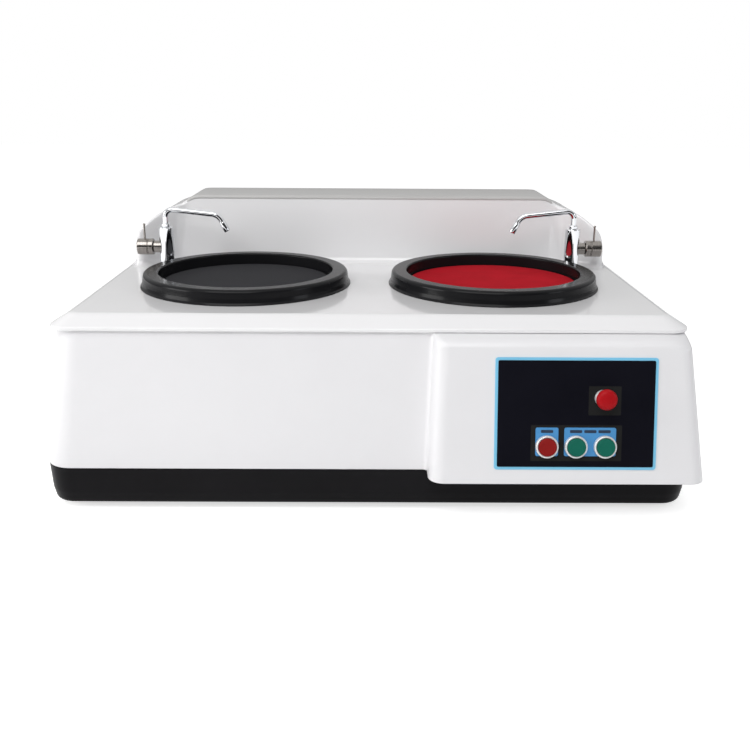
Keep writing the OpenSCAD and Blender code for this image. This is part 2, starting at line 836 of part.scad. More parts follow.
module ring(r0, r1, h) {
    difference() {
        cylinder(r = r1, h = h);
        translate([0, 0, -over]) cylinder(r = r0, h = h + 2 * over);
    }
}

// Platens, discs and spindles
function platen_z() = z_disc - disc_t - platen_t;
function housing_top() = z_deck - basin_depth - basin_floor - housing_gap;

module platen(side) {
    color([0.78, 0.79, 0.8]) at_spindle(side) translate([0, 0, platen_z()]) difference() {
        cylinder(d = platen_d, h = platen_t);
        translate([0, 0, -over]) cylinder(d = spindle_d + 2 * fit_gap,
            h = boss_l + boss_gap + over);
        translate([drive_pin_r, 0, -over]) cylinder(d = drive_pin_d + hole_gap,
            h = drive_pin_l + boss_gap + over);
        translate([0, 0, -over]) ring(driver_d / 2 + driver_t, platen_d / 2 - platen_t,
            platen_t / 2 + over);
    }
}

module left_platen() { platen(-1); }
module right_platen() { platen(1); }

module disc(side) {
    at_spindle(side) translate([0, 0, z_disc - disc_t]) cylinder(d = platen_d - disc_t,
        h = disc_t);
}

module abrasive_disc() { color([0.14, 0.14, 0.15]) disc(-1); }
module polishing_cloth() { color([0.78, 0.06, 0.1]) disc(1); }

module spindle(side) {
    color([0.7, 0.71, 0.73]) at_spindle(side) {
        translate([0, 0, spindle_foot_z]) cylinder(d = spindle_d,
            h = platen_z() + boss_l - spindle_foot_z);
        translate([0, 0, platen_z() - driver_t]) cylinder(d = driver_d, h = driver_t);
        translate([drive_pin_r, 0, platen_z() - driver_t]) cylinder(d = drive_pin_d,
            h = driver_t + drive_pin_l);
    }
}

module left_spindle() { spindle(-1); }
module right_spindle() { spindle(1); }

module at_bolts(pcd) {
    for (a = [45 : 90 : 315]) rotate([0, 0, a]) translate([pcd / 2, 0, 0]) children();
}

function z_top_plate() = z_plate + plate_t;

module bearing_housing(side) {
    z0 = z_plate;
    top = housing_top();
    color([0.45, 0.47, 0.5]) at_spindle(side) difference() {
        union() {
            translate([0, 0, z0]) cylinder(d = housing_spigot_d, h = plate_t);
            translate([0, 0, z_top_plate()]) cylinder(d = housing_flange_d,
                h = housing_flange_t);
            translate([0, 0, z_top_plate()]) cylinder(d = housing_d,
                h = top - z_top_plate());
        }
        translate([0, 0, z0 - over]) cylinder(d = bearing_shoulder_d, h = top - z0 + 2 * over);
        translate([0, 0, z0 - over]) cylinder(d = bearing_d, h = bearing_land + bearing_w + over);
        translate([0, 0, top - bearing_land - bearing_w])
            cylinder(d = bearing_d, h = bearing_land + bearing_w + over);
        translate([0, 0, z0 - over]) at_bolts(bolt_pcd) cylinder(d = bolt_d + hole_gap,
            h = housing_flange_t + plate_t + 2 * over);
    }
}

module left_bearing_housing() { bearing_housing(-1); }
module right_bearing_housing() { bearing_housing(1); }

// A ball bearing with a groove at each end between its inner and outer race
module bearing(bore, d, w) {
    mid = (bore + d) / 4;
    groove = (d - bore) / 8;
    difference() {
        ring(bore / 2 + fit_gap, d / 2 - fit_gap, w);
        translate([0, 0, -over]) ring(mid - groove, mid + groove, bearing_groove_t + over);
        translate([0, 0, w - bearing_groove_t]) ring(mid - groove, mid + groove,
            bearing_groove_t + over);
    }
}

module spindle_bearings() {
    color([0.72, 0.73, 0.75]) for (side = [-1, 1]) at_spindle(side) {
        translate([0, 0, z_plate + bearing_land]) bearing(spindle_d, bearing_d, bearing_w);
        translate([0, 0, housing_top() - bearing_land - bearing_w])
            bearing(spindle_d, bearing_d, bearing_w);
    }
}

// Belt drive. A belt's section is a trapezium; a groove follows it with a small gap.
function belt_half(r, pitch) = belt_w / 2 - (pitch + belt_proud - r) * tan(belt_angle);

module groove_cut(pitch) {
    deep = pitch + belt_proud - belt_h - loose_gap;
    top = pitch + pulley_rim + over;
    polygon([[deep, -belt_half(deep, pitch) - loose_gap], [top, -belt_half(top, pitch) - loose_gap],
        [top, belt_half(top, pitch) + loose_gap], [deep, belt_half(deep, pitch) + loose_gap]]);
}

module spindle_pulley(side, pitch, z_mid) {
    rim_in = pitch + belt_proud - belt_h - pulley_rim_t;
    hub = pulley_hub_d / 2;
    color([0.55, 0.57, 0.6]) at_spindle(side) translate([0, 0, z_mid]) difference() {
        rotate_extrude() difference() {
            union() {
                translate([spindle_d / 2 + fit_gap, -pulley_w / 2])
                    square([hub - spindle_d / 2 - fit_gap, pulley_w]);
                translate([hub - over, -pulley_web / 2]) square([rim_in - hub + 2 * over, pulley_web]);
                translate([rim_in, -pulley_w / 2])
                    square([pitch + pulley_rim - rim_in, pulley_w]);
            }
            groove_cut(pitch);
        }
        for (a = [0 : 60 : 300]) rotate([0, 0, a])
            translate([(hub + rim_in) / 2, 0, -pulley_w]) cylinder(d = (rim_in - hub) * 0.5,
                h = 2 * pulley_w);
    }
}

module left_spindle_pulley() { spindle_pulley(-1, left_pulley_r, left_belt_z); }
module right_spindle_pulley() { spindle_pulley(1, right_pulley_r, right_belt_z); }

module motor_pulley() {
    color([0.55, 0.57, 0.6]) translate([0, motor_y, 0]) rotate_extrude() difference() {
        union() {
            translate([shaft_d / 2 + fit_gap, left_belt_z - pulley_w / 2])
                square([left_groove_r + pulley_rim - shaft_d / 2 - fit_gap, pulley_w]);
            translate([shaft_d / 2 + fit_gap, right_belt_z - pulley_w / 2])
                square([right_groove_r + pulley_rim - shaft_d / 2 - fit_gap,
                    left_belt_z - right_belt_z]);
        }
        translate([0, left_belt_z]) groove_cut(left_groove_r);
        translate([0, right_belt_z]) groove_cut(right_groove_r);
    }
}

module belt_section(pitch, grow) {
    deep = pitch + belt_proud - belt_h - grow;
    top = pitch + belt_proud + grow;
    polygon([[deep, -belt_half(deep, pitch) - grow], [top, -belt_half(top, pitch) - grow],
        [top, belt_half(top, pitch) + grow], [deep, belt_half(deep, pitch) + grow]]);
}

// An open belt round a big pulley at a spindle and a small one at the motor. Its straight
// runs are a hair thicker than its bends and reach a little into them.
module belt(side, big, small, z_mid) {
    away = [-side * spindle_pitch / 2, motor_y - spindle_y];
    span = norm(away);
    lean = asin((big - small) / span);
    run = span * cos(lean);
    turn = atan2(away[1], away[0]);
    color([0.1, 0.1, 0.1]) at_spindle(side) translate([0, 0, z_mid]) rotate([0, 0, turn]) {
        rotate([0, 0, 90 - lean]) rotate_extrude(angle = 180 + 2 * lean) belt_section(big, 0);
        translate([span, 0, 0]) rotate([0, 0, lean - 90])
            rotate_extrude(angle = 180 - 2 * lean) belt_section(small, 0);
        for (up = [0, 1]) mirror([0, up, 0]) rotate([0, 0, 90 - lean]) rotate([90, 0, 0])
            translate([0, 0, -belt_lap]) linear_extrude(run + 2 * belt_lap)
                belt_section(big, fit_gap);
    }
}

module left_belt() { belt(-1, left_pulley_r, left_groove_r, left_belt_z); }
module right_belt() { belt(1, right_pulley_r, right_groove_r, right_belt_z); }

// Motor, standing on the drive plate with its shaft down
motor_foot_z = z_plate + plate_t;
motor_top_z = motor_foot_z + motor_flange_t + motor_body_h;

module motor_body() {
    core = motor_d - 2 * motor_fin_t;
    color([0.3, 0.36, 0.42]) translate([0, motor_y, 0]) difference() {
        union() {
            translate([0, 0, motor_foot_z + motor_flange_t / 2])
                cube([motor_flange_w, motor_flange_w, motor_flange_t], center = true);
            translate([0, 0, motor_foot_z]) cylinder(d = core, h = motor_top_z - motor_foot_z);
            for (i = [0 : motor_fins - 1]) rotate([0, 0, (i + 0.5) * 360 / motor_fins])
                translate([core / 2 - over, -motor_fin_w / 2, motor_foot_z + motor_flange_t])
                    cube([motor_fin_t + over, motor_fin_w, motor_body_h - 2 * cowl_seat]);
            translate([core / 2 - over, -box_size[1] / 2, motor_foot_z + box_z])
                cube([box_size[0] + motor_fin_t + over, box_size[1], box_size[2]]);
        }
        translate([0, 0, motor_foot_z - over]) cylinder(d = shaft_d + body_wall,
            h = motor_top_z - motor_foot_z + 2 * over);
        translate([0, 0, motor_foot_z - over]) cylinder(d = motor_bearing_d,
            h = motor_bearing_w + over);
        translate([0, 0, motor_top_z - motor_bearing_w]) cylinder(d = motor_bearing_d,
            h = motor_bearing_w + over);
        translate([0, 0, motor_foot_z - over]) at_bolts(motor_bolt_pcd)
            cylinder(d = bolt_d + hole_gap, h = motor_flange_t + 2 * over);
    }
}

module motor_bearings() {
    color([0.72, 0.73, 0.75]) for (z = [motor_foot_z, motor_top_z - motor_bearing_w])
        translate([0, motor_y, z]) bearing(shaft_d, motor_bearing_d, motor_bearing_w);
}

module motor_shaft() {
    color([0.7, 0.71, 0.73]) translate([0, motor_y, shaft_foot_z])
        cylinder(d = shaft_d, h = fan_z() + fan_t + fan_blade_h - shaft_foot_z);
}

function fan_z() = motor_top_z + body_wall;

module motor_fan() {
    color([0.15, 0.15, 0.16]) translate([0, motor_y, fan_z()]) {
        ring(shaft_d / 2 + fit_gap, fan_d / 2, fan_t);
        translate([0, 0, fan_t - slice]) ring(shaft_d / 2 + fit_gap, fan_hub_d / 2, fan_blade_h);
        for (i = [0 : fan_blades - 1]) rotate([0, 0, i * 360 / fan_blades])
            translate([fan_hub_d / 2 - over, -fan_t / 2, fan_t - slice])
                cube([(fan_d - fan_hub_d) / 2, fan_t, fan_blade_h]);
    }
}

module motor_fan_cowl() {
    core = motor_d - 2 * motor_fin_t;
    z0 = motor_top_z - cowl_seat;
    color([0.22, 0.25, 0.28]) translate([0, motor_y, z0]) difference() {
        cylinder(d = motor_d, h = cowl_h);
        translate([0, 0, -over]) cylinder(d = core + 2 * fit_gap, h = cowl_seat + 2 * over);
        translate([0, 0, cowl_seat]) cylinder(d = motor_d - 2 * cowl_wall,
            h = cowl_h - cowl_seat - cowl_wall);
        for (i = [0 : cowl_slots - 1]) rotate([0, 0, i * 360 / cowl_slots])
            translate([fan_hub_d / 2, -cowl_slot_w / 2, cowl_h - 2 * cowl_wall])
                cube([(motor_d - fan_hub_d) / 2 - 3 * cowl_wall, cowl_slot_w, 3 * cowl_wall]);
    }
}

// Steel plate on four posts that carries the motor and both spindles
module drive_plate() {
    color([0.6, 0.62, 0.65]) difference() {
        translate([-plate_x, plate_y0, z_plate]) cube([2 * plate_x, plate_y1 - plate_y0, plate_t]);
        for (side = [-1, 1]) at_spindle(side) translate([0, 0, z_plate - over]) {
            cylinder(d = housing_spigot_d + 2 * fit_gap, h = plate_t + 2 * over);
            at_bolts(bolt_pcd) cylinder(d = bolt_d + 2 * fit_gap, h = plate_t + 2 * over);
        }
        translate([0, motor_y, z_plate - over]) {
            cylinder(d = motor_bearing_d, h = plate_t + 2 * over);
            at_bolts(motor_bolt_pcd) cylinder(d = bolt_d + 2 * fit_gap, h = plate_t + 2 * over);
        }
        for (sx = [-1, 1], y = post_y) translate([sx * post_x, y, z_plate - over])
            cylinder(d = bolt_d + 2 * fit_gap, h = plate_t + 2 * over);
    }
}

module plate_posts() {
    color([0.65, 0.66, 0.68]) for (sx = [-1, 1], y = post_y)
        translate([sx * post_x, y, z_floor]) difference() {
            cylinder(d = post_d, h = z_plate - z_floor);
            translate([0, 0, z_plate - z_floor - 2 * bolt_head_h])
                cylinder(d = bolt_d + 2 * fit_gap, h = 2 * bolt_head_h + over);
        }
}

// A hexagon bolt whose head rests on z = 0
module bolt(length) {
    cylinder(d = bolt_head_d, h = bolt_head_h, $fn = 6);
    translate([0, 0, -length]) cylinder(d = bolt_d, h = length + over);
}

module frame_bolts() {
    color([0.75, 0.76, 0.78]) {
        for (side = [-1, 1]) at_spindle(side)
            translate([0, 0, z_top_plate() + housing_flange_t]) at_bolts(bolt_pcd)
                bolt(housing_flange_t + plate_t);
        translate([0, motor_y, z_top_plate() + motor_flange_t]) at_bolts(motor_bolt_pcd)
            bolt(motor_flange_t + plate_t);
        for (sx = [-1, 1], y = post_y) translate([sx * post_x, y, z_top_plate()])
            bolt(plate_t + bolt_head_h);
    }
}

// Taps, drawn for the right side and mirrored for the left
module at_tap(side) { on_side(side) translate([tap_x, tap_y, z_deck]) children(); }

module tap_body(side) {
    color([0.85, 0.86, 0.88]) at_tap(side) difference() {
        union() {
            cylinder(d = tap_flange_d, h = tap_flange_h);
            cylinder(d = tap_d, h = tap_h);
            translate([0, 0, -tap_shank_l]) cylinder(d = tap_shank_d, h = tap_shank_l + over);
            translate([0, 0, tap_knob_h]) rotate([0, 90, 0])
                cylinder(d = branch_d, h = tap_d / 2 + branch_l);
        }
        translate([0, 0, tap_h - spigot_l]) cylinder(d = spout_run_d + 2 * fit_gap,
            h = spigot_l + over);
        translate([tap_d / 2 + branch_l - knob_stem_l, 0, tap_knob_h]) rotate([0, 90, 0])
            cylinder(d = knob_stem_d + 2 * fit_gap, h = knob_stem_l + over);
        translate([0, 0, -tap_shank_l - over]) cylinder(d = hose_d + 2 * fit_gap,
            h = hose_in + over);
    }
}

module left_tap_body() { tap_body(-1); }
module right_tap_body() { tap_body(1); }

// The tube in the plane y = 0, from the tap's axis towards the disc
module tap_spout(side) {
    top = spout_collar_h + spout_rise;
    arm = spout_reach - 2 * spout_bend - 1.5 * spout_tip_l * cos(spout_drop);
    color([0.85, 0.86, 0.88]) at_tap(side) mirror([1, 0, 0]) translate([0, 0, tap_h]) {
        translate([0, 0, -spigot_l]) cylinder(d = spout_run_d,
            h = spigot_l + top + spout_lap);
        translate([0, 0, loose_gap]) cylinder(d = spout_collar_d, h = spout_collar_h);
        translate([0, 0, top]) tube_bend(90 + spout_slope) {
            tube_run(arm);
            translate([0, 0, arm]) tube_bend(spout_drop - spout_slope) {
                tube_run(spout_tip_l * 0.75);
                translate([0, 0, spout_tip_l / 2]) tube_tip();
            }
        }
    }
}

// A bend of the spout tube from straight up towards +x, with what follows it at its end
module tube_bend(angle) {
    translate([spout_bend, 0, 0]) rotate([90, 0, 0]) rotate([0, 0, 180 - angle])
        rotate_extrude(angle = angle) translate([spout_bend, 0]) circle(d = spout_d);
    translate([spout_bend * (1 - cos(angle)), 0, spout_bend * sin(angle)])
        rotate([0, angle, 0]) {
            children(0);
            if ($children > 1) children(1);
        }
}

// The straight tubes are a hair thicker than the bends and reach a little into them
module tube_run(l) {
    translate([0, 0, -spout_lap]) cylinder(d = spout_run_d, h = l + 2 * spout_lap);
}

module tube_tip() {
    difference() {
        cylinder(d = spout_tip_d, h = spout_tip_l);
        translate([0, 0, spout_tip_l / 2]) cylinder(d = spout_tip_d - 2 * spout_wall,
            h = spout_tip_l);
    }
}

module left_tap_spout() { tap_spout(-1); }
module right_tap_spout() { tap_spout(1); }

knob_start = tap_d / 2 + branch_l + knob_gap;

module tap_knob(side) {
    color([0.72, 0.72, 0.73]) at_tap(side) translate([knob_start, 0, tap_knob_h])
        rotate([0, 90, 0]) difference() {
            union() {
                cylinder(d = knob_d, h = knob_l);
                translate([0, 0, knob_gap - knob_stem_l]) cylinder(d = knob_stem_d,
                    h = knob_stem_l);
            }
            for (z = [0.3, 0.36] * knob_l) translate([0, 0, z])
                ring(knob_d / 2 - knob_gap, knob_d / 2 + over, knob_gap * 2);
            rotate([0, 0, 180]) translate([knob_d / 4, 0, knob_l - lever_from_end])
                rotate([0, 90, lever_lean]) cylinder(d = lever_d + 2 * fit_gap, h = knob_d);
        }
}

module left_tap_knob() { tap_knob(-1); }
module right_tap_knob() { tap_knob(1); }

module tap_lever(side) {
    color([0.72, 0.72, 0.73]) at_tap(side) translate([knob_start, 0, tap_knob_h])
        rotate([0, 90, 0]) rotate([0, 0, 180])
            translate([knob_d / 4, 0, knob_l - lever_from_end]) rotate([0, 90, lever_lean]) {
                cylinder(d = lever_d, h = knob_d / 4 + lever_l);
                translate([0, 0, knob_d / 4 + lever_l]) sphere(d = lever_d * 1.3);
            }
}

module left_tap_lever() { tap_lever(-1); }
module right_tap_lever() { tap_lever(1); }

module tap_nuts() {
    color([0.78, 0.66, 0.35]) for (side = [-1, 1]) at_tap(side)
        translate([0, 0, -cover_wall - nut_h]) difference() {
            cylinder(d = nut_across, h = nut_h, $fn = 6);
            translate([0, 0, -over]) cylinder(d = tap_shank_d + 2 * fit_gap, h = nut_h + 2 * over);
        }
}

// Water and electricity
module water_inlet() {
    back = body_back_y - inlet_tee_y;
    color([0.78, 0.66, 0.35]) translate([inlet_x, body_back_y, inlet_z]) difference() {
        union() {
            rotate([-90, 0, 0]) cylinder(d = inlet_thread_d, h = fitting_reach);
            rotate([-90, 0, 0]) cylinder(d = inlet_nut_d, h = fitting_flange_t, $fn = 6);
            rotate([90, 0, 0]) cylinder(d = inlet_body_d, h = back);
            translate([0, -body_wall, 0]) rotate([90, 0, 0])
                cylinder(d = inlet_nut_d, h = inlet_nut_t, $fn = 6);
            translate([-inlet_tee_l, -back, 0]) rotate([0, 90, 0])
                cylinder(d = inlet_barb_d, h = 2 * inlet_tee_l);
            translate([0, -back, 0]) sphere(d = inlet_body_d);
        }
        rotate([-90, 0, 0]) translate([0, 0, -back / 2])
            cylinder(d = inlet_bore_d, h = fitting_reach + back / 2 + over);
    }
}

// The end of a hose over a spigot: the hollow reaches cuff_l from z = 0 upwards
module cuff(d, bore) {
    translate([0, 0, -cuff_l]) difference() {
        cylinder(d = d, h = 2 * cuff_l);
        translate([0, 0, cuff_l - fit_gap]) cylinder(d = bore + 2 * fit_gap, h = cuff_l + over);
    }
}

module water_hoses() {
    color([0.75, 0.8, 0.85]) {
        sweep(water_left, hose_d - sweep_under, [-1, 1, -1]);
        sweep(water_right, hose_d - sweep_under, [1, 1, -1]);
        for (side = [-1, 1]) {
            at_tap(side) translate([0, 0, -tap_shank_l - hose_in])
                cylinder(d = hose_d, h = 2 * hose_in - loose_gap);
            translate([inlet_x + side * inlet_tee_l, inlet_tee_y, inlet_z])
                rotate([0, -side * 90, 0]) cuff(hose_d, inlet_barb_d);
        }
    }
}

module drain_hoses() {
    color([0.3, 0.32, 0.34]) for (side = [-1, 1]) on_side(side) {
        sweep(drain_side, drain_hose_d - sweep_under, [1, 0, 0]);
        at_spindle(1) at_drain(1) translate([0, 0, z_deck - basin_depth - basin_floor - drain_l])
            cuff(drain_hose_d, drain_d);
        translate([outlet_x, body_back_y - outlet_in_l, outlet_z]) rotate([-90, 0, 0])
            cuff(drain_hose_d, drain_d);
    }
}

module drain_outlets() {
    color([0.35, 0.36, 0.38]) for (side = [-1, 1])
        translate([side * outlet_x, body_back_y, outlet_z]) difference() {
            union() {
                rotate([-90, 0, 0]) cylinder(d = outlet_d, h = fitting_reach);
                rotate([-90, 0, 0]) cylinder(d = outlet_flange_d, h = fitting_flange_t);
                rotate([90, 0, 0]) cylinder(d = outlet_d, h = outlet_neck_l);
                rotate([90, 0, 0]) cylinder(d = drain_d, h = outlet_in_l);
            }
            rotate([-90, 0, 0]) translate([0, 0, -body_wall]) cylinder(d = outlet_bore_d,
                h = body_wall + fitting_reach + over);
            rotate([90, 0, 0]) cylinder(d = drain_bore_d, h = outlet_in_l + over);
        }
}

module power_gland() {
    color([0.12, 0.12, 0.13]) translate([gland_x, body_back_y, gland_z]) difference() {
        union() {
            rotate([-90, 0, 0]) cylinder(d = gland_d, h = gland_nut_t, $fn = 6);
            rotate([-90, 0, 0]) cylinder(d1 = gland_d * 0.8, d2 = gland_d * 0.55,
                h = fitting_reach - body_wall);
            rotate([90, 0, 0]) cylinder(d = gland_d - body_wall, h = gland_in_l);
            translate([0, -body_wall, 0]) rotate([90, 0, 0])
                cylinder(d = gland_d + body_wall, h = body_wall, $fn = 6);
        }
        rotate([-90, 0, 0]) cylinder(d = gland_bore_d, h = fitting_reach + over);
    }
}

// Control panel on the sloping face
module panel_border() {
    color([0.35, 0.66, 0.85]) on_face() difference() {
        face_plate(panel_x, panel_s, panel_w, panel_h, panel_edge, 0, border_t);
        switch_holes(border_t);
    }
}

module switch_holes(t) {
    for (x = button_x) off_face(x, button_s, barrel_d + hole_gap, -over, t + over);
    off_face(stop_x, stop_s, barrel_d + hole_gap, -over, t + over);
}

module panel_sheet() {
    color([0.05, 0.05, 0.07]) on_face() difference() {
        face_plate(panel_x, panel_s, panel_w - 2 * panel_edge, panel_h - 2 * panel_edge,
            panel_edge / 2, border_t, sheet_t);
        switch_holes(face_t);
    }
}

legend_steps = [-29.6, 14.8];
legend_x = [for (d = legend_steps) panel_x + d];
legend_single_w = 23.4;
legend_double_w = 53.2;
legend_h = 29.6;
legend_s = 44.8;
legend_corner = 2;

module legend_plates() {
    color([0.3, 0.6, 0.82]) on_face() difference() {
        union() {
            face_plate(legend_x[0], legend_s, legend_single_w, legend_h, legend_corner,
                face_t, legend_t);
            face_plate(legend_x[1], legend_s, legend_double_w, legend_h, legend_corner,
                face_t, legend_t);
        }
        switch_holes(face_t + legend_t);
    }
}

// Metal bezels with their barrels, and the emergency button's collar
module bezel(x, s, d, h, recess_d, from) {
    difference() {
        union() {
            off_face(x, s, d, from, from + h);
            off_face(x, s, barrel_d, -barrel_l, from + over / 2);
        }
        off_face(x, s, barrel_bore_d, -barrel_l - over, from + h + over);
        off_face(x, s, recess_d, from + bezel_floor, from + h + over);
    }
}

module button_bezels() {
    color([0.8, 0.81, 0.83]) on_face() {
        for (x = button_x) bezel(x, button_s, bezel_d, bezel_h, bezel_d - 2 * bezel_rim,
            face_t + legend_t);
        bezel(stop_x, stop_s, stop_collar_d, stop_collar_h, barrel_bore_d, face_t);
    }
}

module push_button(x, shade) {
    base = face_t + legend_t;
    color(shade) on_face() {
        off_face(x, button_s, bezel_d - 2 * bezel_rim - 2 * loose_gap,
            base + cap_out - cap_t, base + cap_out);
        off_face(x, button_s, stem_d, -stem_in, base + cap_out - cap_t + over);
    }
}

module stop_button() { push_button(button_x[0], [0.75, 0.1, 0.1]); }
module low_speed_button() { push_button(button_x[1], [0.05, 0.5, 0.33]); }
module high_speed_button() { push_button(button_x[2], [0.05, 0.5, 0.33]); }

module emergency_stop_button() {
    color([0.82, 0.04, 0.07]) on_face() {
        off_face(stop_x, stop_s, stem_d, -stem_in / 2, face_t + stop_out - stop_head_t + over);
        off_face(stop_x, stop_s, stop_head_d, face_t + stop_out - stop_head_t,
            face_t + stop_out - stop_head_t / 2);
        translate([stop_x, -(face_t + stop_out - stop_head_t / 2), stop_s]) rotate([90, 0, 0])
            cylinder(d1 = stop_head_d, d2 = stop_nose_d, h = stop_head_t / 2);
    }
}

module switch_blocks() {
    color([0.2, 0.22, 0.24]) on_face() {
        for (x = button_x) switch_block(x, button_s);
        switch_block(stop_x, stop_s);
    }
}

module switch_block(x, s) {
    translate([x - block_w / 2, barrel_l, s - block_h / 2]) cube([block_w, block_l, block_h]);
}

module electrics_board() {
    color([0.72, 0.74, 0.76]) {
        translate([board_x, board_y[0], z_floor])
            cube([board_t, board_y[1] - board_y[0], board_z1 - z_floor]);
        translate([board_x - board_foot, board_y[0], z_floor])
            cube([board_foot + board_t, board_y[1] - board_y[0], board_t]);
    }
}

module contactors() {
    color([0.82, 0.83, 0.8]) for (y = contactor_y) {
        translate([board_x - contactor_size[0], y, contactor_z]) cube(contactor_size);
        translate([board_x - contactor_size[0] - contactor_step[0], y,
            contactor_z + (contactor_size[2] - contactor_step[2]) / 2])
            cube([contactor_step[0] + over, contactor_step[1], contactor_step[2]]);
    }
}

module wire_harness() {
    color([0.15, 0.15, 0.16]) {
        sweep(lead_switch, lead_d, [0, 0, 1]);
        sweep(lead_motor, lead_d, [0, 0, 1]);
        sweep(lead_mains, lead_d, [0, 0, 1]);
        on_face() {
            translate([button_x[1], barrel_l + block_l, button_s]) rotate([-90, 0, 0])
                boot();
            for (i = [0, 1]) translate([button_x[i] + block_w / 2, barrel_l + block_l / 2,
                button_s]) rotate([0, 90, 0])
                cylinder(d = lead_d, h = button_x[i + 1] - button_x[i] - block_w);
            translate([stop_x, barrel_l + block_l / 2, button_s + block_h / 2])
                cylinder(d = lead_d, h = stop_s - button_s - block_h);
        }
        translate([lead_switch[5][0], contactor_y[0], lead_switch[5][2]])
            rotate([90, 0, 0]) boot();
        for (route = [lead_motor, lead_mains])
            translate([route[7][0], contactor_y[2] + contactor_size[1], route[7][2]])
                rotate([-90, 0, 0]) boot();
        translate([motor_d / 2 + box_size[0], motor_y, lead_motor[0][2]])
            rotate([0, 90, 0]) boot();
        translate([gland_x, body_back_y - gland_in_l, gland_z]) rotate([90, 0, 0]) boot();
    }
}

module boot() { cylinder(d = boot_d, h = boot_l); }

place() base_tray();
place() rubber_feet();
place() lower_body();
place() top_cover();
place() ledge_strip();
place() rear_panel();
place() panel_screws();
place() left_splash_ring();
place() right_splash_ring();
place() left_basin();
place() right_basin();
place() basin_seals();
place() left_platen();
place() right_platen();
place() abrasive_disc();
place() polishing_cloth();
place() left_spindle();
place() right_spindle();
place() left_bearing_housing();
place() right_bearing_housing();
place() spindle_bearings();
place() left_spindle_pulley();
place() right_spindle_pulley();
place() left_belt();
place() right_belt();
place() motor_body();
place() motor_bearings();
place() motor_shaft();
place() motor_pulley();
place() motor_fan();
place() motor_fan_cowl();
place() drive_plate();
place() plate_posts();
place() frame_bolts();
place() left_tap_body();
place() left_tap_spout();
place() left_tap_knob();
place() left_tap_lever();
place() right_tap_body();
place() right_tap_spout();
place() right_tap_knob();
place() right_tap_lever();
place() tap_nuts();
place() water_inlet();
place() water_hoses();
place() drain_hoses();
place() drain_outlets();
place() power_gland();
place() panel_border();
place() panel_sheet();
place() legend_plates();
place() button_bezels();
place() stop_button();
place() low_speed_button();
place() high_speed_button();
place() emergency_stop_button();
place() switch_blocks();
place() electrics_board();
place() contactors();
place() wire_harness();
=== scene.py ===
"""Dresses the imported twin-disc lapping machine: smooth shells, rings, discs, taps and panel,
and a finish for every piece. Sizes are millimetres from the middle of the lip's front edge and
the bench, turned into the frame's metres by in_frame()."""
import json
import math

import bmesh
import bpy
import numpy as np
from bpy.props import FloatProperty, FloatVectorProperty, IntProperty, PointerProperty
from mathutils import Matrix, Vector


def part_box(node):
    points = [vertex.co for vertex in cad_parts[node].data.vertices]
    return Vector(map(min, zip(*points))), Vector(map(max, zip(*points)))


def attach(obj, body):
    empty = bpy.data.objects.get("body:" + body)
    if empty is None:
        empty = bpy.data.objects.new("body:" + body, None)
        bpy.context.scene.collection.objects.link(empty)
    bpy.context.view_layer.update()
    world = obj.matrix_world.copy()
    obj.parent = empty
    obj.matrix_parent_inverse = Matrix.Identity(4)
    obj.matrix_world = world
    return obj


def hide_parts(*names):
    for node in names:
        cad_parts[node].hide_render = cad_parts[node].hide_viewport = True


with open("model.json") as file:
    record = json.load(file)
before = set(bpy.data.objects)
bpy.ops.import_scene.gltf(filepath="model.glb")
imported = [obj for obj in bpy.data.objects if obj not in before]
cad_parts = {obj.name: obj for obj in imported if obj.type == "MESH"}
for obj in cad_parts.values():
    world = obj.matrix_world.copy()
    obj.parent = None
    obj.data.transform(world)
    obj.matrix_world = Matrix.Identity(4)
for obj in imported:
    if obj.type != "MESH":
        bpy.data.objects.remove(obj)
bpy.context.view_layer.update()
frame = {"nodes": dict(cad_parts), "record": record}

bl_info = {
    "name": "Twin-disc lapping machine",
    "version": (1, 0, 0),
    "blender": (4, 5, 0),
    "location": "View3D > Sidebar > Lapping machine",
    "description": "Shells, rings, discs, taps, panel and finishes of a twin-disc lapping machine",
    "category": "Object",
}

SLOTS = {part["node"]: part["material_slot"] for part in frame["record"]["subparts"]}
MM = 0.001
MASK_ENDS = (0.3, 0.7)
WHITE = (1, 1, 1, 1)
LIP_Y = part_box("top_cover")[0].y / MM

# heights
Z_TRAY, Z_UNDER, Z_LIP, Z_DECK = 51.0, 199.0, 202.5, 213.5
Z_BASE, Z_FLOOR, Z_DISC, LEDGE_H = 8.0, 11.0, 216.9, 88.0
Z_WINDOW_LOW, Z_WINDOW_HIGH, WINDOW_X = 79.5, 164.5, 83.0
# shells
BODY_HALF, BODY_LEAN, BODY_CORNER, BACK_Y = 350.0, 17.5, 30.0, 426.5
FRONT_FOOT_Y, COVER_HALF, COVER_D, WALL = -14.0, 336.0, 430.0, 4.0
HOUSE_X, HOUSE_FOOT_Y, HOUSE_TOP_Z = 62.0, -50.0, 191.0
FACE_TILT = math.radians(12.8962)
# backsplash
SPLASH_Y, SPLASH_LEAN, WING_TURN, FOLD_X, WING_X, WING_CORNER = 306.0, 11.0, 37.5, 262.0, 310.0, 18.0
LEDGE_BACK_Y, FOLD_BLEND = 409.0, 6.0
CREST_SHARES = np.array([
    [0, 1], [0.2, 1], [0.3, 1], [0.36, 1], [0.42, 1], [0.48, 1], [0.54, 1], [0.6, 1], [0.66, 1],
    [0.726, 1], [0.755, 0.993], [0.774, 0.965], [0.79, 0.931],
    [0.806, 0.896], [0.818, 0.878], [0.832, 0.862], [0.845, 0.846], [0.861, 0.826],
    [0.887, 0.783], [0.913, 0.726], [0.942, 0.646], [0.957, 0.6], [0.971, 0.548],
    [0.984, 0.47], [0.9935, 0.362], [0.9987, 0.26], [1, 0.19], [1.0026, 0.115],
    [1.007, 0.05], [1.013, 0.012], [1.019, -0.03]])
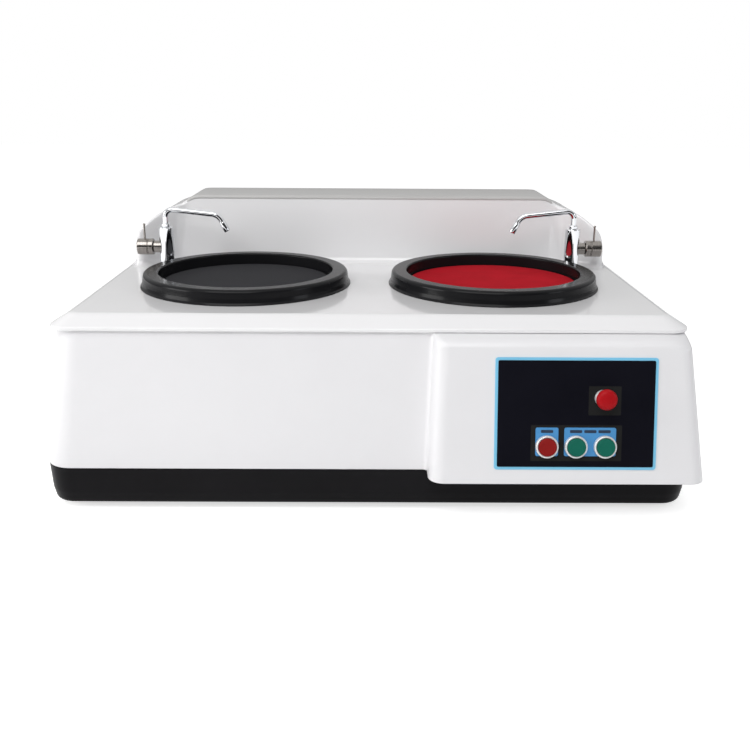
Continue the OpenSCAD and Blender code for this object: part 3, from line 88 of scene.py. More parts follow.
# discs, taps and panel
SPINDLE_X, SPINDLE_Y, TAP_X, TAP_Y = 149.3, 177.0, 262.0, 258.0
RING_R, HOLE_R, DISC_R, DISC_T = 126.0, 112.0, 100.9, 1.2
TAP_TOP, BRANCH_Z, BRANCH_L, SPOUT_R = Z_DECK + 55.0, Z_DECK + 29.3, 16.8, 3.5
FACE_T, LEGEND_T, PRINT_T = 1.4, 0.8, 0.1
BUTTON_X, BUTTON_S, STOP_X, STOP_S = (182.7, 212.5, 242.5), 40.0, 239.5, 90.2


# Sizes and colours

def colour_property(name, description, default):
    """A colour that can be set in the panel."""
    return FloatVectorProperty(name=name, description=description, subtype="COLOR", default=default,
                               min=0, max=1)


class LapperSizes(bpy.types.PropertyGroup):
    deck_round: FloatProperty(name="Deck edge radius", description="Round where the bevel meets the deck",
                              default=14, min=2, max=20)
    crest_round: FloatProperty(name="Ledge edge radius", description="Round along the front of the ledge",
                               default=5, min=1, max=8)
    foot_fillet: FloatProperty(name="Backsplash fillet", description="Hollow round at the backsplash's foot",
                               default=9, min=3, max=12)
    ring_round: FloatProperty(name="Ring edge radius", description="Outer top round of the splash rings",
                              default=4.5, min=1, max=6)
    tray_round: FloatProperty(name="Tray foot radius", description="Round along the foot of the base tray",
                              default=6, min=2, max=9)
    turn_steps: IntProperty(name="Steps round a ring", description="Faces round the rings and discs",
                            default=192, min=48, max=256)


class LapperColours(bpy.types.PropertyGroup):
    shell: colour_property("Shell", "Moulded cover", (0.79, 0.785, 0.795))
    body: colour_property("Body", "Body and its control housing", (0.765, 0.76, 0.775))
    tray: colour_property("Base tray", "Satin black base", (0.006, 0.0057, 0.0066))
    ring: colour_property("Splash ring", "Gloss black rings", (0.008, 0.008, 0.009))
    cloth: colour_property("Polishing cloth", "Red napped cloth", (0.46, 0.010, 0.020))
    abrasive: colour_property("Abrasive disc", "Charcoal grit", (0.032, 0.032, 0.035))
    border: colour_property("Panel border", "Light blue edge of the panel", (0.20, 0.56, 0.80))
    legend: colour_property("Legend plates", "Blue plates behind the buttons", (0.055, 0.25, 0.53))


# Surfaces

def in_frame(points):
    """Millimetres in the machine's own axes become the frame's metres: y is moved by the lip's place."""
    out = np.array(points, float)
    out[..., 1] += LIP_Y
    return out * MM


def rounded(corners, radii, steps, closed=True, hold=0.4):
    """Outlines with rounded corners. corners is (..., n, 2). At a corner the arc touches both edges
    radius / tan(half the angle) away from it; its points swing from one touching point to the
    other about the centre, by the sines of the parts of the swing. A held point stands just before
    and after each arc, so long flats shade flat. Returns (..., n * (steps + 3), 2)."""
    p = np.asarray(corners, float)
    r = np.maximum(np.broadcast_to(np.asarray(radii, float), p.shape[:-1]), 1e-3)[..., None]
    before, after = np.roll(p, 1, -2) - p, np.roll(p, -1, -2) - p
    if not closed:
        before[..., 0, :], after[..., -1, :] = -after[..., 0, :], -before[..., -1, :]
    a = before / np.linalg.norm(before, axis=-1, keepdims=True)
    b = after / np.linalg.norm(after, axis=-1, keepdims=True)
    half = np.arccos(np.clip((a * b).sum(-1, keepdims=True), -0.999999, 0.999999)) / 2
    straight = np.linalg.norm(a + b, axis=-1, keepdims=True) < 2e-3
    between = np.where(straight, np.stack([-a[..., 1], a[..., 0]], -1), a + b)
    touch = np.where(straight, 0.01, r / np.tan(half))
    centre = p + between / np.linalg.norm(between, axis=-1, keepdims=True) * r / np.sin(half)
    start, end = p + a * touch - centre, p + b * touch - centre
    swing = np.pi - 2 * half
    k = np.linspace(0, 1, steps + 1)
    arcs = [np.where(straight, p + (b - a) * (t - 0.5) * 0.01, centre + (
        start * np.sin((1 - t) * swing) + end * np.sin(t * swing)) / np.sin(swing)) for t in k]
    arcs = [p + a * (touch + hold)] + arcs + [p + b * (touch + hold)]
    out = np.stack(arcs, -2)
    out = out.reshape(*p.shape[:-2], -1, 2)
    if not closed:
        out = out[..., steps + 2:out.shape[-2] - steps - 2, :]
        out[..., 0, :], out[..., -1, :] = p[..., 0, :], p[..., -1, :]
    return out


def turned(profile, steps, centre=(0, 0, 0), axis="z"):
    """A profile of (radius, height) carried round an axis: row i, column j is
    centre + radius * (cos, sin) of the j-th angle, at that height along the axis."""
    a = np.linspace(0, 2 * np.pi, steps, endpoint=False)
    r, h = profile[:, :1], np.repeat(profile[:, 1:], steps, 1)
    u, v = r * np.cos(a), r * np.sin(a)
    grid = np.stack({"z": (u, v, h), "x": (h, u, v), "-x": (-h, -u, v)}[axis], -1)
    return grid + np.array(centre, float)


def swept(path, radii, steps):
    """A round section carried along a path in the xz plane: the ring at each point lies square to
    the path's heading there, with that point's radius."""
    head = np.gradient(path, axis=0)
    head = head / np.maximum(np.linalg.norm(head, axis=1, keepdims=True), 1e-9)
    side = np.array([0.0, 1.0, 0.0])
    up = np.cross(head, side)
    a = np.linspace(0, 2 * np.pi, steps, endpoint=False)[None, :, None]
    return path[:, None] + radii[:, None, None] * (np.cos(a) * side + np.sin(a) * up[:, None])


def level_rings(inset, z, half, y0, y1, corner, steps=10):
    """Rounded rectangles at the heights z, each drawn in by its own inset on every side."""
    inset, z = np.asarray(inset, float), np.asarray(z, float)
    x, near, far = half - inset, y0 + inset, y1 - inset
    points = np.stack([np.stack(q, -1) for q in ((x, near), (x, far), (-x, far), (-x, near))], 1)
    flat = rounded(points, corner[:, None], steps)
    return np.concatenate([flat, np.repeat(z[:, None, None], flat.shape[1], 1)], -1)


def on_face(points):
    """(x, out, up) on the sloping front of the housing become machine axes: out is square to the
    face and up runs up its slope."""
    p = np.asarray(points, float)
    c, s = math.cos(FACE_TILT), math.sin(FACE_TILT)
    return np.stack([p[..., 0], HOUSE_FOOT_Y - p[..., 1] * c + p[..., 2] * s,
                     Z_TRAY + p[..., 1] * s + p[..., 2] * c], -1)


def face_turned(profile, steps, x, s, base=0.0):
    """A turned piece whose axis stands square on the panel at (x, s)."""
    grid = turned(profile, steps)
    return on_face(np.stack([x + grid[..., 0], base + grid[..., 2], s - grid[..., 1]], -1))


def face_plate(x, s, w, h, corner, low, high, edge=0.15):
    """A thin rounded plate on the panel, with a small chamfer round its top."""
    rect = np.array([[w / 2, -h / 2], [w / 2, h / 2], [-w / 2, h / 2], [-w / 2, -h / 2]])
    rings = []
    for inset, out in ((0, low), (0, high - edge), (edge, high), (edge + 0.3, high)):
        flat = rounded(rect - np.sign(rect) * inset, max(corner - inset, 0.1), 6, hold=0.1)
        rings.append(np.stack([x + flat[:, 0], np.full(len(flat), out), s + flat[:, 1]], -1))
    return on_face(np.array(rings))


class Shape:
    """Gathers grids of points into one mesh."""

    def __init__(self):
        self.points, self.faces, self.count = [], [], 0

    def grid(self, points, round_way=True, closed=False, cap_first=False, cap_last=False, skip=None):
        """Faces between each row and the next. round_way joins the last column to the first,
        closed joins the last row to the first, and a cap is one face over a row."""
        n, m = points.shape[:2]
        index = np.arange(n * m).reshape(n, m) + self.count
        rows = np.vstack([index, index[:1]]) if closed else index
        cols = np.hstack([rows, rows[:, :1]]) if round_way else rows
        quads = np.stack([cols[:-1, :-1], cols[:-1, 1:], cols[1:, 1:], cols[1:, :-1]], -1).reshape(-1, 4)
        if skip is not None:
            middle = points.reshape(-1, 3)[quads - self.count].mean(1)
            quads = quads[~skip(middle)]
        self.faces += quads.tolist()
        if cap_first:
            self.faces.append(index[0, ::-1].tolist())
        if cap_last:
            self.faces.append(index[-1].tolist())
        self.points.append(points.reshape(-1, 3))
        self.count += n * m
        return self

    def build(self, name, body, finish, replaces=(), sharp=38, fill_heights=(), side=1, slot=None):
        """One object at the origin: doubles merged, open loops filled, faces turned
        outwards, and edges sharper than the given angle kept sharp. The slot argument is not
        used."""
        mesh = bpy.data.meshes.new(name)
        points = np.concatenate(self.points) * np.array([side, 1, 1])
        mesh.from_pydata(in_frame(points).tolist(), [], self.faces)
        work = bmesh.new()
        work.from_mesh(mesh)
        bmesh.ops.remove_doubles(work, verts=work.verts, dist=2e-6)
        for z in fill_heights:
            edges = [e for e in work.edges if e.is_boundary and
                     all(abs(v.co.z - z * MM) < 1e-6 for v in e.verts)]
            bmesh.ops.triangle_fill(work, use_beauty=True, edges=edges)
        bmesh.ops.recalc_face_normals(work, faces=work.faces)
        work.to_mesh(mesh)
        work.free()
        mesh.shade_smooth()
        mesh.set_sharp_from_angle(angle=math.radians(sharp))
        piece = bpy.data.objects.new(name, mesh)
        bpy.context.scene.collection.objects.link(piece)
        mesh.materials.append(finish)
        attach(piece, body)
        if replaces:
            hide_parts(*replaces)
        return piece


# Finishes

def shader_effect(name, inputs, wire):
    """A node group with named inputs and a height and a mask out, filled in by wire(tree, in, out)."""
    tree = bpy.data.node_groups.new(name, "ShaderNodeTree")
    for label, value in inputs:
        socket = tree.interface.new_socket(name=label, in_out="INPUT", socket_type="NodeSocketFloat")
        socket.default_value = value
    for label in ("Height", "Mask"):
        tree.interface.new_socket(name=label, in_out="OUTPUT", socket_type="NodeSocketFloat")
    wire(tree, tree.nodes.new("NodeGroupInput"), tree.nodes.new("NodeGroupOutput"))
    return tree


def add(tree, kind, **values):
    """A node, with its attributes or its inputs set by name."""
    node = tree.nodes.new(kind)
    for key, value in values.items():
        if hasattr(node, key):
            setattr(node, key, value)
        else:
            node.inputs[key.replace("_", " ")].default_value = value
    return node


def link(tree, *pairs):
    """Links sockets; each row is (from node, its output, to node, its input)."""
    for start, out, end, enter in pairs:
        tree.links.new(start.outputs[out], end.inputs[enter])


def place_of(tree, *nodes):
    """The piece's own coordinates, fed to each node."""
    where = add(tree, "ShaderNodeTexCoord")
    link(tree, *[(where, "Object", node, "Vector") for node in nodes])


def moulded_skin():
    """Fine pebble of a moulded or painted shell, and broad faint cloudiness."""
    def wire(tree, enter, leave):
        fine = add(tree, "ShaderNodeTexNoise", Detail=3.0, Roughness=0.55)
        broad = add(tree, "ShaderNodeTexNoise", Scale=7.0, Detail=4.0, Roughness=0.6)
        place_of(tree, fine, broad)
        link(tree, (enter, "Scale", fine, "Scale"), (fine, "Fac", leave, "Height"),
             (broad, "Fac", leave, "Mask"))
    return shader_effect("moulded_skin", [("Scale", 900.0)], wire)


def grit_grain():
    """Packed grains: small cells for the height, and a speckle of lighter grains for the mask."""
    def wire(tree, enter, leave):
        cells = add(tree, "ShaderNodeTexVoronoi")
        speck = add(tree, "ShaderNodeTexNoise", Detail=6.0, Roughness=0.75)
        place_of(tree, cells, speck)
        link(tree, (enter, "Scale", cells, "Scale"), (enter, "Scale", speck, "Scale"),
             (cells, "Distance", leave, "Height"), (speck, "Fac", leave, "Mask"))
    return shader_effect("grit_grain", [("Scale", 1400.0)], wire)


def cloth_nap():
    """Short brushed fibres: a fine distorted noise, its mask an even blend with soft brushed patches."""
    def wire(tree, enter, leave):
        fibres = add(tree, "ShaderNodeTexNoise", Detail=8.0, Roughness=0.7, Distortion=1.2)
        patches = add(tree, "ShaderNodeTexNoise", Scale=26.0, Detail=5.0, Roughness=0.65)
        place_of(tree, fibres, patches)
        half, blend = (add(tree, "ShaderNodeMath", operation=kind) for kind in ("MULTIPLY", "MULTIPLY_ADD"))
        for node in (half, blend):
            node.inputs[1].default_value = 0.5
        link(tree, (enter, "Scale", fibres, "Scale"), (fibres, "Fac", blend, 0), (patches, "Fac", half, 0),
             (half, 0, blend, 2), (fibres, "Fac", leave, "Height"), (blend, 0, leave, "Mask"))
    return shader_effect("cloth_nap", [("Scale", 1100.0)], wire)


def tool_marks():
    """Fine parallel marks of a turning or brushing tool: noise stretched by its own share along each axis."""
    def wire(tree, enter, leave):
        where = add(tree, "ShaderNodeTexCoord")
        split = add(tree, "ShaderNodeSeparateXYZ")
        join = add(tree, "ShaderNodeCombineXYZ")
        lines = add(tree, "ShaderNodeTexNoise", Scale=1.0, Detail=4.0, Roughness=0.6)
        for i, label in enumerate(("Along X", "Along Y", "Along Z")):
            times = add(tree, "ShaderNodeMath", operation="MULTIPLY")
            link(tree, (split, i, times, 0), (enter, label, times, 1), (times, 0, join, i))
        link(tree, (where, "Object", split, 0), (join, 0, lines, "Vector"),
             (lines, "Fac", leave, "Height"), (lines, "Fac", leave, "Mask"))
    return shader_effect("tool_marks", [("Along X", 60.0), ("Along Y", 60.0), ("Along Z", 2500.0)], wire)


def run_between(node, low, high):
    """Sets a map range's four ends."""
    for label, value in zip(("From Min", "From Max", "To Min", "To Max"), (*low, *high)):
        node.inputs[label].default_value = value


def finish(name, effect, settings, dark, light, rough, bump, **shader):
    """A finish: the effect's mask runs the base colour from dark to light and the roughness from
    one value to the other, and its height feeds the bump, given as strength and millimetres. The
    settings are the effect's inputs in order. The rest is set on the shader itself."""
    material = bpy.data.materials.new(name + "_finish")
    material.use_nodes = True
    tree = material.node_tree
    principled = tree.nodes["Principled BSDF"]
    group = add(tree, "ShaderNodeGroup")
    group.node_tree = effect
    for socket, value in zip(group.inputs, settings):
        socket.default_value = value
    ramp = add(tree, "ShaderNodeValToRGB")
    for stop, place, colour in zip(ramp.color_ramp.elements, MASK_ENDS, (dark, light)):
        stop.position, stop.color = place, (*colour, 1)
    spread = add(tree, "ShaderNodeMapRange")
    run_between(spread, MASK_ENDS, rough)
    relief = add(tree, "ShaderNodeBump", Strength=bump[0], Distance=bump[1] * MM)
    link(tree, (group, "Mask", ramp, "Fac"), (ramp, "Color", principled, "Base Color"),
         (group, "Mask", spread, "Value"), (spread, "Result", principled, "Roughness"),
         (group, "Height", relief, "Height"), (relief, "Normal", principled, "Normal"))
    for label, value in shader.items():
        principled.inputs[label.replace("_", " ")].default_value = value
    return material


def tone(colour, factor):
    return tuple(min(c * factor, 1.0) for c in colour)


def finishes():
    """Every finish by the record's slot name, plus the ones that only the dressed pieces use."""
    c = bpy.context.scene.lapper_colours
    skin, grit, nap, marks = moulded_skin(), grit_grain(), cloth_nap(), tool_marks()
    plastic = dict(IOR=1.49)
    table = {}

    def put(name, *values, **shader):
        table[name] = finish(name, *values, **shader)

    put("shell_white", skin, (700,), tone(c.shell, 0.975), tuple(c.shell), (0.13, 0.19), (0.05, 0.05),
        Coat_Weight=0.4, Coat_Roughness=0.03, **plastic)
    put("body_white", skin, (700,), tone(c.body, 0.97), tuple(c.body), (0.30, 0.38), (0.08, 0.05),
        Coat_Weight=0.12, Coat_Roughness=0.15, **plastic)
    put("tray_black", skin, (1500,), tone(c.tray, 0.8), tone(c.tray, 1.3), (0.34, 0.44), (0.25, 0.10),
        Specular_IOR_Level=0.07, **plastic)
    put("rubber_black", skin, (1800,), (0.012, 0.012, 0.012), (0.022, 0.022, 0.022), (0.65, 0.8),
        (0.3, 0.1))
    put("strip_grey", marks, (8, 900, 60), (0.41, 0.405, 0.40), (0.49, 0.485, 0.475), (0.38, 0.46),
        (0.1, 0.03))
    put("panel_white", skin, (900,), (0.74, 0.74, 0.75), (0.80, 0.80, 0.81), (0.38, 0.46), (0.15, 0.05))
    put("steel_bright", marks, (), (0.52, 0.53, 0.55), (0.66, 0.67, 0.69), (0.22, 0.32), (0.15, 0.02),
        Metallic=1.0)
    put("ring_black", skin, (500,), tone(c.ring, 0.8), tone(c.ring, 1.25), (0.20, 0.28), (0.05, 0.04),
        Specular_IOR_Level=0.08, Coat_Weight=0.06, Coat_Roughness=0.08, **plastic)
    put("basin_grey", skin, (1200,), (0.02, 0.02, 0.022), (0.035, 0.035, 0.04), (0.4, 0.5), (0.2, 0.06))
    put("aluminium_turned", marks, (90, 90, 1800), (0.62, 0.63, 0.65), (0.76, 0.77, 0.79), (0.25, 0.36),
        (0.2, 0.02), Metallic=1.0)
    put("abrasive_grey", grit, (1500,), tone(c.abrasive, 0.72), tone(c.abrasive, 1.45), (0.70, 0.90),
        (0.55, 0.12), Specular_IOR_Level=0.05)
    put("cloth_red", nap, (1200,), tone(c.cloth, 0.72), tone(c.cloth, 1.12), (0.85, 0.95), (0.6, 0.18),
        Sheen_Weight=0.06, Sheen_Roughness=0.4, Sheen_Tint=(1.0, 0.25, 0.25, 1.0), Specular_IOR_Level=0.02)
    put("iron_grey", grit, (700,), (0.18, 0.19, 0.21), (0.26, 0.27, 0.30), (0.5, 0.65), (0.5, 0.25))
    put("motor_paint", skin, (600,), (0.035, 0.06, 0.095), (0.05, 0.08, 0.12), (0.4, 0.5), (0.3, 0.12))
    put("plastic_black", skin, (1400,), (0.014, 0.014, 0.014), (0.024, 0.024, 0.024), (0.45, 0.58),
        (0.25, 0.06))
    put("steel_plate", grit, (160,), (0.50, 0.51, 0.53), (0.64, 0.65, 0.68), (0.34, 0.48), (0.08, 0.03),
        Metallic=1.0)
    put("chrome_bright", skin, (260,), (0.64, 0.65, 0.67), (0.72, 0.73, 0.75), (0.035, 0.06), (0.03, 0.02),
        Metallic=1.0)
    put("knob_steel", marks, (2600, 70, 70), (0.24, 0.22, 0.205), (0.35, 0.33, 0.31), (0.16, 0.26),
        (0.25, 0.02), Metallic=1.0)
    put("brass_plain", marks, (), (0.52, 0.38, 0.13), (0.66, 0.50, 0.20), (0.24, 0.36), (0.15, 0.02),
        Metallic=1.0)
    put("hose_pale", skin, (500,), (0.50, 0.57, 0.62), (0.60, 0.67, 0.71), (0.3, 0.4), (0.1, 0.05))
    put("plastic_grey", skin, (1400,), (0.10, 0.105, 0.115), (0.14, 0.145, 0.155), (0.45, 0.55),
        (0.25, 0.06))
    put("border_blue", skin, (900,), tone(c.border, 0.95), tuple(c.border), (0.30, 0.38), (0.05, 0.03))
    put("sheet_black", skin, (1600,), (0.004, 0.004, 0.007), (0.006, 0.006, 0.010), (0.42, 0.50),
        (0.12, 0.03), Specular_IOR_Level=0.03)
    put("legend_blue", skin, (1600,), tone(c.legend, 0.92), tone(c.legend, 1.08), (0.35, 0.45),
        (0.08, 0.03))
    put("cap_red", skin, (1200,), (0.20, 0.008, 0.008), (0.25, 0.012, 0.011), (0.34, 0.44), (0.08, 0.03),
        Specular_IOR_Level=0.1, **plastic)
    put("cap_green", skin, (1200,), (0.006, 0.105, 0.075), (0.009, 0.13, 0.088), (0.34, 0.44), (0.08, 0.03),
        Specular_IOR_Level=0.1, **plastic)
    put("cap_scarlet", skin, (1200,), (0.32, 0.004, 0.007), (0.39, 0.006, 0.010), (0.30, 0.38),
        (0.08, 0.03), Specular_IOR_Level=0.10, **plastic)
    put("plastic_cream", skin, (1400,), (0.60, 0.60, 0.55), (0.68, 0.68, 0.63), (0.45, 0.55), (0.2, 0.05))
    put("bezel_silver", marks, (), (0.74, 0.74, 0.75), (0.86, 0.86, 0.86), (0.26, 0.34), (0.05, 0.02),
        Metallic=0.35, IOR=1.6)
    put("field_grey", skin, (1600,), (0.012, 0.012, 0.012), (0.017, 0.017, 0.017), (0.5, 0.6), (0.1, 0.03),
        Specular_IOR_Level=0.05)
    put("field_navy", skin, (1600,), (0.006, 0.020, 0.050), (0.009, 0.028, 0.065), (0.45, 0.55),
        (0.1, 0.03))
    return table


# Operators

class LapperOperator:
    """Gives each step the scene's sizes."""

    @property
    def sizes(self):
        return bpy.context.scene.lapper_sizes


class LAPPER_OT_stage(LapperOperator, bpy.types.Operator):
    """Camera, pale floor, white surroundings and soft lamps"""
    bl_idname = "lapper.stage"
    bl_label = "Camera and stage"

    def execute(self, context):
        scene = context.scene
        scene.view_settings.view_transform = "Standard"
        data = bpy.data.cameras.new("camera")
        data.lens, data.sensor_width, data.clip_end = 42.607, 36.0, 50.0
        camera = bpy.data.objects.new("camera", data)
        scene.collection.objects.link(camera)
        yaw, pitch, roll = 0.0063, 0.3135, 0.0063
        ahead = Vector((math.sin(yaw) * math.cos(pitch), math.cos(yaw) * math.cos(pitch), -math.sin(pitch)))
        right = Vector((math.cos(yaw), -math.sin(yaw), 0.0))
        up = right.cross(ahead)
        turn, lift = math.cos(roll), math.sin(roll)
        right, up = right * turn + up * lift, up * turn - right * lift
        axes = Matrix((right, up, -ahead)).transposed().to_4x4()
        camera.matrix_world = Matrix.Translation((0.000709, -1.084567, 0.44047)) @ axes
        scene.camera = camera
        self.surroundings(scene)
        self.floor(scene)
        for name, place, aim, size, power, tint in (
                ("high_softbox", (-0.5, -1.5, 2.0), (0.0, 0.0, 0.18), (2.0, 1.6), 34.0, (1, 1, 1)),
                ("left_softbox", (-2.3, -0.7, 0.75), (-0.1, 0.0, 0.2), (1.2, 1.0), 22.0, (1, 0.995, 0.985)),
                ("right_softbox", (2.2, -1.0, 0.8), (0.1, 0.1, 0.2), (0.7, 0.7), 5.0, (0.92, 0.95, 1))):
            lamp = bpy.data.lights.new(name, "AREA")
            lamp.shape, lamp.size, lamp.size_y = "RECTANGLE", size[0], size[1]
            lamp.energy, lamp.color = power, tint
            held = bpy.data.objects.new(name, lamp)
            held.location = place
            held.rotation_euler = (Vector(aim) - Vector(place)).to_track_quat("-Z", "Y").to_euler()
            scene.collection.objects.link(held)
        return {"FINISHED"}

    def surroundings(self, scene):
        """An even grey light on the object, seen as plain white by the camera. Metal and glass see
        white too, in level bands that dim towards the camera's side."""
        world = bpy.data.worlds.new("surroundings")
        scene.world = world
        world.use_nodes = True
        tree = world.node_tree
        tree.nodes.clear()
        light = add(tree, "ShaderNodeBackground", Strength=0.42, Color=WHITE)
        seen = add(tree, "ShaderNodeBackground", Strength=1.0, Color=WHITE)
        glimpsed = add(tree, "ShaderNodeBackground", Strength=1.0)
        sky = add(tree, "ShaderNodeTexCoord")
        split = add(tree, "ShaderNodeSeparateXYZ")
        bands = add(tree, "ShaderNodeValToRGB")
        stops = bands.color_ramp.elements
        stops[0].position, stops[0].color = 0.46, (0.75, 0.75, 0.75, 1)
        stops[1].position, stops[1].color = 0.80, WHITE
        for position, value in ((0.50, 0.16), (0.56, 0.55)):
            stop = stops.new(position)
            stop.color = (value, value, value, 1)
        half = add(tree, "ShaderNodeMapRange")
        run_between(half, (-1.0, 1.0), (0.0, 1.0))
        toward = add(tree, "ShaderNodeVectorMath", operation="DOT_PRODUCT")
        toward.inputs[1].default_value = (0.30, -0.954, 0.0)
        dim = add(tree, "ShaderNodeMapRange", interpolation_type="SMOOTHSTEP")
        run_between(dim, (0.35, 0.75), (1.0, 0.08))
        shade = add(tree, "ShaderNodeVectorMath", operation="MULTIPLY")
        path, mirror = self.mirror_rays(tree)
        first, second = add(tree, "ShaderNodeMixShader"), add(tree, "ShaderNodeMixShader")
        leave = add(tree, "ShaderNodeOutputWorld")
        link(tree, (sky, "Generated", split, 0), (split, "Z", half, "Value"), (half, "Result", bands, "Fac"),
             (sky, "Generated", toward, 0), (toward, "Value", dim, "Value"), (bands, "Color", shade, 0),
             (dim, "Result", shade, 1), (shade, 0, glimpsed, "Color"), (mirror, 0, first, "Fac"),
             (light, 0, first, 1), (glimpsed, 0, first, 2), (path, "Is Camera Ray", second, "Fac"),
             (first, 0, second, 1), (seen, 0, second, 2), (second, 0, leave, "Surface"))

    def mirror_rays(self, tree):
        """The light path, and a node that is 1 for rays mirrored by metal or let through by glass."""
        path = add(tree, "ShaderNodeLightPath")
        mirror = add(tree, "ShaderNodeMath", operation="MAXIMUM")
        link(tree, (path, "Is Glossy Ray", mirror, 0), (path, "Is Transmission Ray", mirror, 1))
        return path, mirror

    def floor(self, scene):
        """A pale bench plane; the camera, metal and glass see it lifted towards white, with its shadow."""
        mesh = bpy.data.meshes.new("bench_plane")
        mesh.from_pydata([(-6, -6, 0), (6, -6, 0), (6, 6, 0), (-6, 6, 0)], [], [(0, 1, 2, 3)])
        plane = bpy.data.objects.new("bench_plane", mesh)
        scene.collection.objects.link(plane)
        pale = bpy.data.materials.new("bench_pale")
        pale.use_nodes = True
        tree = pale.node_tree
        tree.nodes.clear()
        matt = add(tree, "ShaderNodeBsdfDiffuse", Color=(0.86, 0.86, 0.86, 1))
        glow = add(tree, "ShaderNodeEmission", Strength=0.64)
        path, mirror = self.mirror_rays(tree)
        either = add(tree, "ShaderNodeMath", operation="MAXIMUM")
        total = add(tree, "ShaderNodeAddShader")
        mix = add(tree, "ShaderNodeMixShader")
        leave = add(tree, "ShaderNodeOutputMaterial")
        link(tree, (matt, 0, total, 0), (glow, 0, total, 1), (path, "Is Camera Ray", either, 0),
             (mirror, 0, either, 1), (either, 0, mix, "Fac"), (matt, 0, mix, 1), (total, 0, mix, 2),
             (mix, 0, leave, "Surface"))
        mesh.materials.append(pale)


def smooth_path(points, steps):
    """A smooth curve through the points that never swings past them: over each span it is the
    cubic whose end slopes are the harmonic mean of the neighbouring chords' slopes, or nought
    where those differ in sign."""
    span = np.linalg.norm(np.diff(points, axis=0), axis=1, keepdims=True)
    chord = np.diff(points, axis=0) / span
    product = chord[:-1] * chord[1:]
    mean = np.where(product > 0, 2 * product / np.where(product > 0, chord[:-1] + chord[1:], 1), 0)
    slope = np.vstack([chord[:1], mean, chord[-1:]])
    t = (np.arange(steps) / steps)[None, :, None]
    a, b = points[:-1, None], points[1:, None]
    m, n, w = slope[:-1, None], slope[1:, None], span[:, None]
    curve = (a * (1 + 2 * t) * (1 - t) ** 2 + m * w * t * (1 - t) ** 2
             + b * t ** 2 * (3 - 2 * t) - n * w * t ** 2 * (1 - t))
    return np.vstack([curve.reshape(-1, points.shape[1]), points[-1:]])


def crest_line(lowest=-9.0):
    """Stations along the ledge and both wings: place across the machine and height over the deck."""
    half = smooth_path(CREST_SHARES * [WING_X, LEDGE_H], 6)
    half = half[half[:, 1] > lowest]
    return np.vstack([half[:0:-1] * [-1, 1], half])


def face_line(x, h):
    """How far back the splash face stands: the straight face leans back with height, the wings turn
    forward beyond the fold, the two blend softly, and the wing's end rounds off."""
    straight = SPLASH_Y + SPLASH_LEAN * h / LEDGE_H
    wing = SPLASH_Y - math.tan(math.radians(WING_TURN)) * (np.abs(x) - FOLD_X)
    part = np.maximum(FOLD_BLEND - np.abs(straight - wing), 0) / FOLD_BLEND
    turn = np.clip((np.abs(x) - WING_X + WING_CORNER) / WING_CORNER, 0, 1)
    end = WING_CORNER * (1 - np.sqrt(1 - turn ** 2))
    return np.minimum(straight, wing) - part ** 2 * FOLD_BLEND / 4 + end


